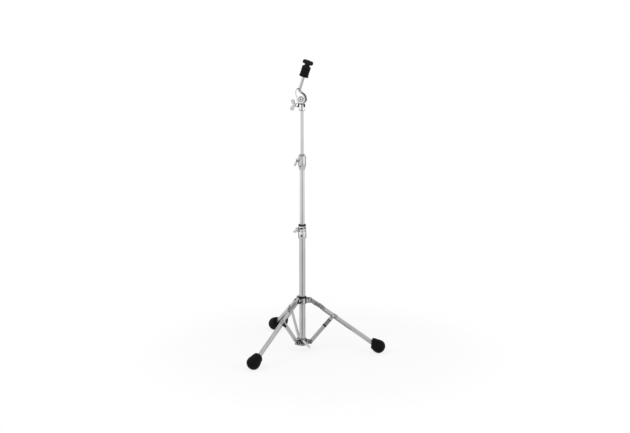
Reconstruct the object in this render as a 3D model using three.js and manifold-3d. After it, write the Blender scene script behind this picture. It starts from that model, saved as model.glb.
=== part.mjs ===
// Straight cymbal stand: a folding tripod with one channel leg and one brace on each side,
// a column of three telescoping tubes, a clevis tilter and a felt seat for one cymbal.
// Millimetres, +Z up. Leg 1 points along +X. The origin is the bottom centre of the whole box.
import * as THREE from 'three';
import { mergeVertices } from 'three/addons/utils/BufferGeometryUtils.js';
import Module from 'manifold-3d';

const wasm = await Module();
wasm.setup();

// Clearances and facet counts
const fit = 0.3;
const overrun = 3;
const roundSides = 24;
const smallSides = 12;
const hexagonSides = 6;
const arcPoints = 3;
const quarterTurn = Math.PI / 2;
const fullTurn = Math.PI * 2;

// Tubes of the column; the two inner ones show above a clamp by a length of their own
const baseTubeRadius = 14.3;
const baseTubeWall = 1.5;
const baseTubeLength = 541;
const middleTubeRadius = 11.1;
const middleTubeWall = 1.2;
const middleTubeLength = 500;
const middleTubeShown = 251.8;
const topTubeRadius = 7.95;
const topTubeWall = 1.2;
const topTubeLength = 480;
const topTubeShown = 198.1;
const plugFlange = 3.5;
const plugDepth = 14;
const plugInset = 1.5;

// Tripod: places in the plane of a leg, as a radius and a height
const legCount = 3;
const hubPinRadius = 36;
const collarPinRadius = 38;
const collarPinHeight = 41;
const bracePinRadius = 144.3;
const legSlopeAngle = THREE.MathUtils.degToRad(34.33);
const legReach = 318;

// Leg channel
const legHeight = 19.5;
const legWidth = 14;
const legWall = 1.5;
const legTail = 8;
const legJoggleStart = 28;
const legJoggleEnd = 84;
const legJoggleRise = 2.3;
const legJoggleSteps = 6;
const legInFoot = 22;

// Rivets of the tripod
const rivetRadius = 3;
const rivetHeadRadius = 5.2;
const rivetHeadHeight = 2.2;
const rivetCrownShare = 0.6;

// Leg hub and its ring; heights are measured from the hub pins
const hubWall = 5.4;
const hubBelowPin = 20.5;
const hubAbovePin = 7;
const hubCheekThickness = 4;
const hubCheekBeyondPin = 9.5;
const hubCheekBelowPin = 15.5;
const hubCheekCorner = 8;
const cheekSink = 2;
const hubRingInset = 1;
const hubRingHeight = 6.5;
const hubRingChamfer = 1.6;

// Lower collar and its wing bolt; heights are measured from the collar pins
const collarWall = 5.4;
const collarBelowPin = 16.5;
const collarAbovePin = 16;
const collarCheekThickness = 4;
const collarCheekRadius = 9.5;
const collarBossRadius = 9;
const collarBossLength = 11;
const collarBoltAngle = THREE.MathUtils.degToRad(300);
const collarWingAngle = THREE.MathUtils.degToRad(-47);
const collarBoltRadius = 4;

// Brace strap; its thickness and its upper end follow from the leg channel that it folds into
const braceWidth = 19;
const braceTopClearance = 0.65;
const braceBevel = 2.4;
const braceShoulder = 16;
const braceBushRadius = 12;
const braceBushSleeve = 1.2;
const braceBushFlange = 1;
const braceBushClearance = 0.4;
const bracketLength = 22;
const bracketOffset = 8;
const bracketWall = 1.5;
const bracketDrop = 6;
const badgeStart = 27;
const badgeLength = 37;
const badgeHeight = 16.6;
const badgeThickness = 0.8;

// Rubber foot: axis slope, sole cut, cut of the mouth and outline
const footSlopeAngle = THREE.MathUtils.degToRad(30);
const footLength = 73;
const footRadius = 31;
const footSoleCut = 1.4;
const footAxisDrop = 1.1;
const footMouthInset = 4.9;
const footMouthAngle = THREE.MathUtils.degToRad(5.7);
const footOutlineShares = [
  [0, 0.62], [0.03, 0.7], [0.12, 0.78], [0.28, 0.85], [0.47, 0.965], [0.6, 1], [0.73, 0.96],
  [0.84, 0.82], [0.92, 0.62], [0.98, 0.35],
];

// Wing nut and wing bolt
const wingHubRadius = 7;
const wingHubLength = 14;
const wingThickness = 10;
const wingLobeRadius = 9.2;
const wingLobePlace = 16.6;
const wingLobeLift = 17;
const wingRootLow = 5;
const wingRootHigh = 13.5;
const wingLobeStartAngle = THREE.MathUtils.degToRad(-90);
const wingLobeEndAngle = THREE.MathUtils.degToRad(126);
const wingClearance = 0.5;

// Tube clamps: casting, bush, clamp bolt and wing nut; a clamp is drawn from its lower end at z = 0
const clampBoltRadius = 3;
const clampSplit = 2.4;
const clampSplitBelow = 16;
const clampHeadHeight = 5.5;
const clampHeadRadius = 7.2;
const clampBoltTail = 16;
const baseClamp = {
  height: 61,
  grip: 37.3,
  boltDrop: 16.6,
  boltWall: 4.1,
  lugBeyondBolt: 6,
  lugHalfHeight: 6.5,
  lugCorner: 4,
  lugAngle: THREE.MathUtils.degToRad(199.6),
  wingAngle: THREE.MathUtils.degToRad(-6),
  wall: 4.4,
  tubeRadius: baseTubeRadius,
  innerRadius: middleTubeRadius,
  flangeStep: 3.2,
  flangeHeight: 6.2,
  outlineShares: [
    [0, 0.8], [0.05, 0.92], [0.12, 1], [0.44, 1], [0.52, 0.97], [0.58, 0.93], [0.65, 0.97], [0.92, 0.97],
    [1, 0.86],
  ],
};
const midClamp = {
  height: 68,
  grip: 34,
  boltDrop: 24,
  boltWall: 7.3,
  lugBeyondBolt: 5,
  lugHalfHeight: 6.5,
  lugCorner: 4,
  lugAngle: THREE.MathUtils.degToRad(189),
  wingAngle: THREE.MathUtils.degToRad(-58),
  wall: 6.4,
  tubeRadius: middleTubeRadius,
  innerRadius: topTubeRadius,
  flangeStep: 1.3,
  flangeHeight: 1.6,
  outlineShares: [
    [0, 0.73], [0.12, 0.84], [0.3, 0.96], [0.45, 1], [0.82, 1], [0.93, 0.93], [1, 0.76],
  ],
};

// Tilter: base with a knuckle, forked arm, pivot bolt and wing bolt
const tilterAngle = THREE.MathUtils.degToRad(-11.4);
const rodLeanAngle = THREE.MathUtils.degToRad(18.4);
const rodOffset = 24;
const cheekRadius = 20.5;
const cheekHalfWidth = 13.8;
const cheekArcAngle = THREE.MathUtils.degToRad(201.6);
const knuckleRecess = 0.9;
const knuckleHalfWidth = 6.7;
const discReliefRadius = 13;
const discReliefHeight = 1.1;
const stemRadius = 14;
const stemChamfer = 1.75;
const stemClearance = 1.2;
const stemDrop = 52.5;
const stemNeckHalfWidth = 12.5;
const stemTubeDepth = 24;
const tilterLugReach = 27.5;
const tilterLugHalfHeight = 9.5;
const tilterLugDrop = 28;
const tilterSplit = 2;
const tilterSplitAngle = THREE.MathUtils.degToRad(25.4);
const tilterBoltRadius = 3;
const tilterBoltDepth = 12;
const tilterWingAngle = THREE.MathUtils.degToRad(110);
const pivotBoltRadius = 4;
const pivotHeadRadius = 7;
const pivotHeadHeight = 2.6;
const pivotSocketRadius = 3.2;
const noseWebSideShare = 0.5;
const noseOutlineShares = [
  [0.57, 0.91], [0.11, 1.2], [-0.57, 1.4], [-0.94, 1.6], [-1.28, 1.98], [-1.44, 2.06], [-1.58, 1.95],
  [-1.72, 1.62], [-1.74, 1.25], [-1.6, 0.7], [-1.22, 0.16],
];

// Cymbal rod and the stack on it, as lengths along the rod from the height of the pivot
const rodRadius = 6.8;
const rodBottom = 16;
const rodShoulder = 97.5;
const rodThreadRadius = 4;
const rodTop = 166.5;
const rodChamfer = 1;
const seatRadius = 21.5;
const seatHeight = 3.6;
const feltRadius = 20;
const feltRound = 2.4;
const lowerFeltHeight = 17.9;
const upperFeltHeight = 18;
const cymbalGap = 2.1;
const sleeveWall = 1.8;
const sleeveHeight = 33;
const washerRadius = 20.4;
const washerHeight = 7.4;
const washerTopShare = 0.72;
const nutNeckRadius = 12;
const nutNeckHeight = 7.5;
const nutWingHeight = 18.5;
const nutWingHalfSpan = 23.6;
const nutWingThickness = 13;
const nutWingCrown = 1.8;
const nutWingCorner = 3;

// Finishes
const chromeColour = 0xc4c6c9;
const castColour = 0xb9bbbe;
const blackColour = 0x191919;
const rubberColour = 0x171717;
const feltColour = 0x1c1c1c;
const badgeColour = 0x6a6a6c;

function chrome() {
  return new THREE.MeshStandardMaterial({ color: chromeColour, roughness: 0.18, metalness: 1 });
}

function castMetal() {
  return new THREE.MeshStandardMaterial({ color: castColour, roughness: 0.24, metalness: 1 });
}

function blackNylon() {
  return new THREE.MeshStandardMaterial({ color: blackColour, roughness: 0.5, metalness: 0 });
}

function blackRubber() {
  return new THREE.MeshStandardMaterial({ color: rubberColour, roughness: 0.8, metalness: 0 });
}

function blackFelt() {
  return new THREE.MeshStandardMaterial({ color: feltColour, roughness: 0.95, metalness: 0 });
}

function greyFoil() {
  return new THREE.MeshStandardMaterial({ color: badgeColour, roughness: 0.45, metalness: 0.2 });
}

// A closed body for joining and cutting, from a geometry whose corners are merged
function bodyOf(geometry) {
  const bare = geometry.clone();
  bare.deleteAttribute('normal');
  bare.deleteAttribute('uv');
  const merged = mergeVertices(bare);
  const corners = merged.index.array;
  const kept = [];
  for (let i = 0; i < corners.length; i += 3) {
    const [a, b, c] = [corners[i], corners[i + 1], corners[i + 2]];
    if (a !== b && b !== c && c !== a) kept.push(a, b, c);
  }
  const vertProperties = new Float32Array(merged.attributes.position.array);
  return new wasm.Manifold(new wasm.Mesh({ numProp: 3, vertProperties, triVerts: new Uint32Array(kept) }));
}

function geometryOf(body) {
  const mesh = body.getMesh();
  const geometry = new THREE.BufferGeometry();
  geometry.setAttribute('position', new THREE.BufferAttribute(new Float32Array(mesh.vertProperties), 3));
  geometry.setIndex(new THREE.BufferAttribute(new Uint32Array(mesh.triVerts), 1));
  geometry.computeVertexNormals();
  return geometry;
}

function join(...geometries) {
  return geometryOf(geometries.map(bodyOf).reduce((sum, body) => sum.add(body)));
}

function cut(geometry, ...tools) {
  return geometryOf(tools.map(bodyOf).reduce((rest, tool) => rest.subtract(tool), bodyOf(geometry)));
}

// A solid of revolution about Z; the outline runs anticlockwise as radius and height
function turned(outline, sides = roundSides) {
  const points = outline.map(([radius, height]) => new THREE.Vector2(radius, height));
  return new THREE.LatheGeometry(points, sides).rotateX(quarterTurn);
}

function rod(radius, bottom, top, sides = smallSides) {
  return turned([[0, bottom], [radius, bottom], [radius, top], [0, top]], sides);
}

function pipe(outer, inner, bottom, top, sides = roundSides) {
  return turned([[inner, bottom], [outer, bottom], [outer, top], [inner, top], [inner, bottom]], sides);
}

// A plate drawn in the X-Z plane and centred on Y
function plate(shape, thickness, curveSegments = arcPoints) {
  const options = { depth: thickness, bevelEnabled: false, curveSegments };
  return new THREE.ExtrudeGeometry(shape, options).translate(0, 0, -thickness / 2).rotateX(quarterTurn);
}

function block(lowX, highX, halfY, lowZ, highZ) {
  const box = new THREE.BoxGeometry(highX - lowX, halfY * 2, highZ - lowZ);
  return box.translate((lowX + highX) / 2, 0, (lowZ + highZ) / 2);
}

// A rod along Y through a place in the X-Z plane
function crossRod(radius, length, x, z, sides = smallSides) {
  return rod(radius, -length / 2, length / 2, sides).rotateX(quarterTurn).translate(x, 0, z);
}

function piece(name, geometry, material) {
  const mesh = new THREE.Mesh(geometry, material);
  mesh.name = name;
  return mesh;
}

function groupAt(x, y, z, children) {
  const group = new THREE.Group();
  group.position.set(x, y, z);
  group.add(...children);
  return group;
}

function groupTurned(angle, children) {
  const group = new THREE.Group();
  group.rotation.z = angle;
  group.add(...children);
  return group;
}

// Rivet along Y with a head beyond each side of a stack of the given width
function rivet(width) {
  const shank = width / 2 + fit;
  const end = shank + rivetHeadHeight;
  const outline = [
    [0, -end], [rivetHeadRadius * rivetCrownShare, -end], [rivetHeadRadius, -shank], [rivetRadius, -shank],
    [rivetRadius, shank], [rivetHeadRadius, shank], [rivetHeadRadius * rivetCrownShare, end], [0, end],
  ];
  return turned(outline, smallSides).rotateX(quarterTurn);
}

// Wing nut along +Y from its seat at y = 0, with its two ears along X
function wings() {
  const shape = new THREE.Shape();
  shape.moveTo(0, wingRootLow);
  shape.absarc(wingLobePlace, wingLobeLift, wingLobeRadius, wingLobeStartAngle, wingLobeEndAngle, false);
  shape.lineTo(0, wingRootHigh);
  const ear = () => plate(shape, wingThickness).rotateX(-quarterTurn);
  const hub = rod(wingHubRadius, 0, wingHubLength).rotateX(-quarterTurn);
  return join(hub, ear(), ear().rotateY(Math.PI));
}

// Wing bolt: the wings with a shank below their seat; its ears are turned about the shank
function wingBolt(name, shankRadius, shankLength, earAngle) {
  const shank = rod(shankRadius, -shankLength, overrun).rotateX(-quarterTurn);
  return piece(name, join(wings(), shank).rotateY(earAngle), chrome());
}

function wingNut(name, boreRadius, earAngle) {
  const bore = rod(boreRadius, -overrun, wingHubLength + overrun).rotateX(-quarterTurn);
  return piece(name, cut(wings(), bore).rotateY(earAngle), chrome());
}

// Height of the mouth of a foot that stands on the ground, on the leg's centre line
const footDrops = footOutlineShares.map(([length, radius]) => (
  length * footLength * Math.sin(footSlopeAngle) + radius * footRadius * Math.cos(footSlopeAngle)
));
const footHeight = Math.max(...footDrops) - footSoleCut;
const legReachHeight = footHeight + footAxisDrop;

// Height of the leg's straight run at a radius
function legLine(radius) {
  return legReachHeight + (legReach - radius) * Math.tan(legSlopeAngle);
}

// Centre line of a leg, from behind the hub pin to inside the foot, with a shallow joggle near the hub.
// Its sections stand at its points, not at equal steps.
function legPath() {
  const along = new THREE.Vector3(Math.cos(legSlopeAngle), 0, -Math.sin(legSlopeAngle));
  const rise = new THREE.Vector3(Math.sin(legSlopeAngle), 0, Math.cos(legSlopeAngle));
  const start = new THREE.Vector3(hubPinRadius, 0, legLine(hubPinRadius));
  const reach = (legReach - hubPinRadius) / Math.cos(legSlopeAngle) + legInFoot;
  const place = (distance, lift) => {
    const point = start.clone().addScaledVector(along, distance);
    return point.addScaledVector(rise, lift);
  };
  const points = [place(-legTail, 0)];
  for (let i = 0; i <= legJoggleSteps; i += 1) {
    const share = i / legJoggleSteps;
    const distance = THREE.MathUtils.lerp(legJoggleStart, legJoggleEnd, share);
    points.push(place(distance, legJoggleRise * Math.sin(share * Math.PI) ** 2));
  }
  points.push(place(reach, 0));
  const path = new THREE.CatmullRomCurve3(points);
  path.getUtoTmapping = (share) => share;
  return path;
}

const hubPinHeight = legLine(hubPinRadius);
const bracePinHeight = legLine(bracePinRadius);

// Cross-section of the leg: a channel, open below, with a round back; the section's y points down
function legSection(grow) {
  const shape = new THREE.Shape();
  const half = legWidth / 2 + grow;
  const bottom = legHeight / 2 + grow;
  shape.moveTo(half, bottom);
  shape.lineTo(half, -legHeight / 2 + legWidth / 2);
  shape.absarc(0, -legHeight / 2 + legWidth / 2, half, 0, Math.PI, true);
  shape.lineTo(-half, bottom);
  return shape;
}

function legChannel() {
  const outer = legSection(0);
  const inner = legWidth / 2 - legWall;
  outer.lineTo(-inner, legHeight / 2);
  outer.lineTo(-inner, -legHeight / 2 + legWidth / 2);
  outer.absarc(0, -legHeight / 2 + legWidth / 2, inner, Math.PI, 0, false);
  outer.lineTo(inner, legHeight / 2);
  return outer;
}

function swept(shape, path, steps) {
  return new THREE.ExtrudeGeometry(shape, { steps, curveSegments: arcPoints, extrudePath: path });
}

// A straight stretch of the leg's direction, given by its distances from the brace pin
function legStretch(from, to) {
  const along = new THREE.Vector3(Math.cos(legSlopeAngle), 0, -Math.sin(legSlopeAngle));
  const pin = new THREE.Vector3(bracePinRadius, 0, bracePinHeight);
  const start = pin.clone().addScaledVector(along, from);
  return new THREE.LineCurve3(start, pin.clone().addScaledVector(along, to));
}

function leg(index) {
  const channel = swept(legChannel(), legPath(), legJoggleSteps + 2);
  const hubHole = crossRod(rivetRadius + fit, legWidth + overrun, hubPinRadius, hubPinHeight);
  const braceHole = crossRod(rivetRadius + fit, legWidth + overrun, bracePinRadius, bracePinHeight);
  return piece(`leg_${index}`, cut(channel, hubHole, braceHole), chrome());
}

// Steel saddle over the leg's back at the brace pin
function legBracket(index) {
  const outerHalf = legWidth / 2 + fit + bracketWall;
  const innerHalf = legWidth / 2 + fit;
  const centre = -legHeight / 2 + legWidth / 2;
  const shape = new THREE.Shape();
  shape.moveTo(outerHalf, bracketDrop);
  shape.lineTo(outerHalf, centre);
  shape.absarc(0, centre, outerHalf, 0, Math.PI, true);
  shape.lineTo(-outerHalf, bracketDrop);
  shape.lineTo(-innerHalf, bracketDrop);
  shape.lineTo(-innerHalf, centre);
  shape.absarc(0, centre, innerHalf, Math.PI, 0, false);
  shape.lineTo(innerHalf, bracketDrop);
  const start = bracketOffset - bracketLength / 2;
  const saddle = swept(shape, legStretch(start, start + bracketLength), 1);
  const hole = crossRod(rivetRadius + fit, outerHalf * 2 + overrun, bracePinRadius, bracePinHeight);
  return piece(`leg_bracket_${index}`, cut(saddle, hole), chrome());
}

function legHingePin(index) {
  const width = legWidth + fit * 2 + hubCheekThickness * 2;
  const pin = piece(`leg_hinge_pin_${index}`, rivet(width), chrome());
  return groupAt(hubPinRadius, 0, hubPinHeight, [pin]);
}

function braceLegPin(index) {
  const width = legWidth + fit * 2 + bracketWall * 2;
  const pin = piece(`brace_leg_pin_${index}`, rivet(width), chrome());
  return groupAt(bracePinRadius, 0, bracePinHeight, [pin]);
}

// The brace's thickness leaves room for the bush flanges in the leg channel
const legInnerHalf = legWidth / 2 - legWall;
const braceThickness = (legInnerHalf - braceBushClearance - braceBushFlange - fit) * 2;
const braceTopRadius = legHeight / 2 - legWall - braceTopClearance;

// Nylon bush between brace and leg: a sleeve on the rivet with a flange on each side of the strap,
// flat where the flanges pass under the leg's back
function braceBush(index) {
  const inner = rivetRadius + fit;
  const sleeve = inner + braceBushSleeve;
  const low = braceThickness / 2 + fit;
  const high = low + braceBushFlange;
  const spool = turned([
    [inner, -high], [braceBushRadius, -high], [braceBushRadius, -low], [sleeve, -low], [sleeve, low],
    [braceBushRadius, low], [braceBushRadius, high], [inner, high], [inner, -high],
  ]).rotateX(quarterTurn);
  const facetAngle = quarterTurn / arcPoints;
  const facetHeight = (legInnerHalf - high) / Math.tan(facetAngle / 2);
  const ceiling = legHeight / 2 - legWidth / 2 + facetHeight - fit;
  const trim = block(-braceBushRadius * 2, braceBushRadius * 2, legWidth, ceiling, braceBushRadius * 2);
  const bush = cut(spool, trim).rotateY(legSlopeAngle);
  return groupAt(bracePinRadius, 0, bracePinHeight, [piece(`brace_bush_${index}`, bush, blackNylon())]);
}

// Length and lean of a brace between its two pins
const braceRun = bracePinRadius - collarPinRadius;
const braceRise = bracePinHeight - collarPinHeight;
const braceLength = Math.hypot(braceRun, braceRise);
const braceLeanAngle = Math.atan2(braceRun, braceRise);

// Brace strap drawn upright from the collar pin at z = 0 to the leg pin at z = braceLength
function braceShape() {
  const shape = new THREE.Shape();
  const half = braceWidth / 2;
  const shoulder = braceLength - braceShoulder;
  shape.absarc(0, 0, half, Math.PI, fullTurn, false);
  shape.lineTo(half, shoulder);
  shape.lineTo(braceTopRadius, braceLength);
  shape.absarc(0, braceLength, braceTopRadius, 0, Math.PI, false);
  shape.lineTo(-half, shoulder);
  return shape;
}

function brace(index) {
  const options = {
    depth: braceThickness - braceBevel * 2,
    bevelEnabled: true,
    bevelThickness: braceBevel,
    bevelSize: braceBevel,
    bevelOffset: -braceBevel,
    bevelSegments: 1,
    curveSegments: arcPoints,
  };
  const strap = new THREE.ExtrudeGeometry(braceShape(), options);
  strap.translate(0, 0, -options.depth / 2).rotateX(quarterTurn);
  const low = crossRod(rivetRadius + fit, braceWidth, 0, 0);
  const high = crossRod(rivetRadius + fit * 2 + braceBushSleeve, braceWidth, 0, braceLength);
  return piece(`brace_${index}`, cut(strap, low, high), chrome());
}

// Short pin in the brace's lower end; its ends stop clear of the collar's cheeks
function braceCollarPin(index) {
  return piece(`brace_collar_pin_${index}`, crossRod(rivetRadius, braceThickness, 0, 0), chrome());
}

// Bare badge plate on the outer face of the first brace
function braceBadge() {
  const top = braceLength - badgeStart;
  const bottom = top - badgeLength;
  const face = braceThickness / 2 + fit + badgeThickness / 2;
  const outline = block(-badgeHeight / 2, badgeHeight / 2, badgeThickness / 2, bottom, top);
  return piece('brace_badge', outline.translate(0, -face, 0), greyFoil());
}

function braceGroup(index) {
  const children = [brace(index), braceCollarPin(index)];
  if (index === 1) children.push(braceBadge());
  const group = groupAt(collarPinRadius, 0, collarPinHeight, children);
  group.rotation.y = braceLeanAngle;
  return group;
}

// Rubber foot: a flared boot with a domed end, cut flat where it stands
function foot(index) {
  const outline = footOutlineShares.map(([length, radius]) => [radius * footRadius, length * footLength]);
  const boot = turned([[0, 0], ...outline, [0, footLength]]);
  boot.rotateY(quarterTurn + footSlopeAngle).translate(legReach, 0, footHeight);
  const along = new THREE.Vector3(Math.cos(legSlopeAngle), 0, -Math.sin(legSlopeAngle));
  const mouth = new THREE.Vector3(legReach, 0, legReachHeight);
  const start = mouth.clone().addScaledVector(along, -footRadius);
  const path = new THREE.LineCurve3(start, mouth.clone().addScaledVector(along, legInFoot + fit));
  const socket = swept(legSection(fit), path, 1);
  const ground = block(0, legReach * 2, footRadius * 2, -footLength, 0);
  const trim = block(-footLength, 0, footRadius * 2, -footLength, footLength);
  trim.rotateY(footMouthAngle).translate(legReach + footMouthInset, 0, footHeight);
  return piece(`foot_${index}`, cut(boot, socket, ground, trim), blackRubber());
}

function legGroup(index, angle) {
  return groupTurned(angle, [
    leg(index), legBracket(index), legHingePin(index), braceLegPin(index), braceBush(index),
    braceGroup(index), foot(index),
  ]);
}

// One pair of cheeks on a ring, drawn at angle 0
function cheekPair(shape, gap, thickness) {
  const offset = gap / 2 + thickness / 2;
  return [offset, -offset].map((place) => plate(shape, thickness).translate(0, place, 0));
}

function aroundLegs(makers) {
  const all = [];
  for (let i = 0; i < legCount; i += 1) {
    for (const geometry of makers()) all.push(geometry.rotateZ(i * fullTurn / legCount));
  }
  return all;
}

const hubRadius = baseTubeRadius + fit + hubWall;
const hubBottom = hubPinHeight - hubBelowPin;
const hubTop = hubPinHeight + hubAbovePin;

function legHub() {
  const shape = new THREE.Shape();
  const root = hubRadius - cheekSink;
  const cornerX = hubPinRadius + hubCheekBeyondPin - hubCheekCorner;
  const bottom = hubPinHeight - hubCheekBelowPin;
  shape.moveTo(root, bottom);
  shape.lineTo(cornerX, bottom);
  shape.absarc(cornerX, bottom + hubCheekCorner, hubCheekCorner, -quarterTurn, 0, false);
  shape.absarc(cornerX, hubTop - hubCheekCorner, hubCheekCorner, 0, quarterTurn, false);
  shape.lineTo(root, hubTop);
  const cheeks = () => cheekPair(shape, legWidth + fit * 2, hubCheekThickness);
  const holeLength = legWidth + hubCheekThickness * 2 + overrun * 2;
  const holes = () => [crossRod(rivetRadius + fit, holeLength, hubPinRadius, hubPinHeight)];
  const barrel = rod(hubRadius, hubBottom, hubTop, roundSides);
  const bore = rod(baseTubeRadius + fit, hubBottom - overrun, hubTop + overrun, roundSides);
  const whole = join(barrel, ...aroundLegs(cheeks));
  return piece('leg_hub', cut(whole, bore, ...aroundLegs(holes)), castMetal());
}

// Nylon bush in the hub's top: the flange shows as a black ring
function hubRing() {
  const bottom = hubTop + fit;
  const top = bottom + hubRingHeight;
  const inner = baseTubeRadius + fit;
  const outer = hubRadius - hubRingInset;
  return piece('hub_ring', turned([
    [inner, bottom], [outer, bottom], [outer, top - hubRingChamfer], [outer - hubRingChamfer, top],
    [inner, top], [inner, bottom],
  ]), blackNylon());
}

const collarRadius = baseTubeRadius + fit + collarWall;
const collarBottom = collarPinHeight - collarBelowPin;
const collarTop = collarPinHeight + collarAbovePin;
const collarBossReach = collarRadius + collarBossLength;

function lowerCollar() {
  const shape = new THREE.Shape();
  const root = collarRadius - cheekSink;
  shape.moveTo(root, collarPinHeight - collarCheekRadius);
  shape.absarc(collarPinRadius, collarPinHeight, collarCheekRadius, -quarterTurn, quarterTurn, false);
  shape.lineTo(root, collarPinHeight + collarCheekRadius);
  const gap = braceThickness + fit * 2;
  const headEnd = gap / 2 + collarCheekThickness + rivetHeadHeight;
  const head = (side) => {
    const stud = rod(rivetHeadRadius, gap / 2 + fit, headEnd).rotateX(side * quarterTurn);
    return stud.translate(collarPinRadius, 0, collarPinHeight);
  };
  const cheeks = () => [...cheekPair(shape, gap, collarCheekThickness), head(1), head(-1)];
  const barrel = rod(collarRadius, collarBottom, collarTop, roundSides);
  const bore = rod(baseTubeRadius + fit, collarBottom - overrun, collarTop + overrun, roundSides);
  const alongBolt = (radius, from, to) => {
    const geometry = rod(radius, from, to).rotateY(quarterTurn).rotateZ(collarBoltAngle);
    return geometry.translate(0, 0, collarPinHeight);
  };
  const boss = alongBolt(collarBossRadius, root, collarBossReach);
  const boltHole = alongBolt(collarBoltRadius + fit, 0, collarBossReach + overrun);
  const solid = cut(join(barrel, boss, ...aroundLegs(cheeks)), bore, boltHole);
  return piece('lower_collar', solid, castMetal());
}

function collarWingBolt() {
  const seat = collarBossReach + fit;
  const shank = seat - baseTubeRadius - fit;
  const wing = wingBolt('collar_wing_bolt', collarBoltRadius, shank, collarWingAngle);
  wing.position.set(0, seat, 0);
  const group = groupAt(0, 0, collarPinHeight, [wing]);
  group.rotation.z = collarBoltAngle - quarterTurn;
  return group;
}

// Places on a tube clamp; its wing nut stands clear of the casting whichever way it is turned
function clampPlaces(clamp) {
  const bore = clamp.tubeRadius + fit;
  const radius = bore + clamp.wall;
  const boltHeight = clamp.height - clamp.boltDrop;
  const boltPlace = bore + clamp.boltWall + clampBoltRadius + fit;
  const lugHalfWidth = radius + wingClearance + wingLobeRadius - wingLobeLift - fit;
  return { bore, radius, boltHeight, boltPlace, lugHalfWidth };
}

// Tube clamp: a casting on the lower tube, split above with two lugs
function clampCasting(name, clamp) {
  const { bore, radius, boltHeight, boltPlace, lugHalfWidth } = clampPlaces(clamp);
  const outline = clamp.outlineShares.map(([up, out]) => [out * radius, up * clamp.height]);
  const barrel = turned([[0, 0], ...outline, [0, clamp.height]]);
  const lugReach = boltPlace + clamp.lugBeyondBolt;
  const lugRoot = bore + clamp.wall / 2;
  const cornerX = lugReach - clamp.lugCorner;
  const low = boltHeight - clamp.lugHalfHeight;
  const high = boltHeight + clamp.lugHalfHeight;
  const shape = new THREE.Shape();
  shape.moveTo(lugRoot, low);
  shape.lineTo(cornerX, low);
  shape.absarc(cornerX, low + clamp.lugCorner, clamp.lugCorner, -quarterTurn, 0, false);
  shape.absarc(cornerX, high - clamp.lugCorner, clamp.lugCorner, 0, quarterTurn, false);
  shape.lineTo(lugRoot, high);
  const lugs = plate(shape, lugHalfWidth * 2);
  const above = clamp.height + overrun;
  const tubeHole = rod(bore, -overrun, above, roundSides);
  const split = block(0, lugReach + overrun, clampSplit / 2, boltHeight - clampSplitBelow, above);
  const boltHole = crossRod(clampBoltRadius + fit, lugHalfWidth * 2 + overrun, boltPlace, boltHeight);
  return piece(name, cut(join(barrel, lugs), tubeHole, split, boltHole), castMetal());
}

function clampBush(name, clamp) {
  const bottom = clamp.grip + fit;
  const top = clamp.height + fit;
  const inner = clamp.innerRadius + fit;
  const flange = clamp.tubeRadius + clamp.flangeStep;
  const flangeTop = top + clamp.flangeHeight;
  const soft = clamp.flangeStep / 2;
  return piece(name, turned([
    [inner, bottom], [clamp.tubeRadius, bottom], [clamp.tubeRadius, top], [flange, top],
    [flange, flangeTop - soft], [flange - soft, flangeTop], [inner, flangeTop], [inner, bottom],
  ]), blackNylon());
}

// Hexagon-headed bolt through the lugs, along Y
function clampBolt(name, clamp) {
  const { boltHeight, boltPlace, lugHalfWidth } = clampPlaces(clamp);
  const head = lugHalfWidth + fit;
  const shank = rod(clampBoltRadius, -head - clampHeadHeight / 2, lugHalfWidth + clampBoltTail);
  const hexagon = rod(clampHeadRadius, -head - clampHeadHeight, -head, hexagonSides);
  const bolt = join(shank, hexagon).rotateX(-quarterTurn);
  return groupAt(boltPlace, 0, boltHeight, [piece(name, bolt, chrome())]);
}

function clampWing(name, clamp) {
  const { boltHeight, boltPlace, lugHalfWidth } = clampPlaces(clamp);
  const wing = wingNut(name, clampBoltRadius + fit, -clamp.wingAngle);
  return groupAt(boltPlace, lugHalfWidth + fit, boltHeight, [wing]);
}

function clampGroup(prefix, clamp, bottom) {
  const group = groupTurned(clamp.lugAngle, [
    clampCasting(prefix, clamp), clampBush(`${prefix}_bush`, clamp), clampBolt(`${prefix}_bolt`, clamp),
    clampWing(`${prefix}_wing_nut`, clamp),
  ]);
  group.position.z = bottom;
  return group;
}

// Height of a clamp with the bush that stands on it
function clampStack(clamp) {
  return clamp.height + fit + clamp.flangeHeight;
}

// Heights along the column, from the lower collar up to the tilter
const baseTubeBottom = collarBottom + plugInset;
const baseTubeTop = baseTubeBottom + baseTubeLength;
const baseClampBottom = baseTubeTop - baseClamp.grip;
const midClampBottom = baseClampBottom + clampStack(baseClamp) + middleTubeShown;
const middleTubeTop = midClampBottom + midClamp.grip;
const tilterBottom = midClampBottom + clampStack(midClamp) + topTubeShown;
const topTubeTop = tilterBottom + stemTubeDepth;
const pivotHeight = tilterBottom + stemDrop;

function tube(name, radius, wall, bottom, top) {
  return piece(name, pipe(radius, radius - wall, bottom, top), chrome());
}

function endPlug() {
  const inner = baseTubeRadius - baseTubeWall - fit;
  const shoulder = baseTubeBottom - fit;
  return piece('tube_end_plug', turned([
    [0, shoulder - plugFlange], [baseTubeRadius, shoulder - plugFlange], [baseTubeRadius, shoulder],
    [inner, shoulder], [inner, shoulder + plugDepth], [0, shoulder + plugDepth],
  ]), blackRubber());
}

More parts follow.
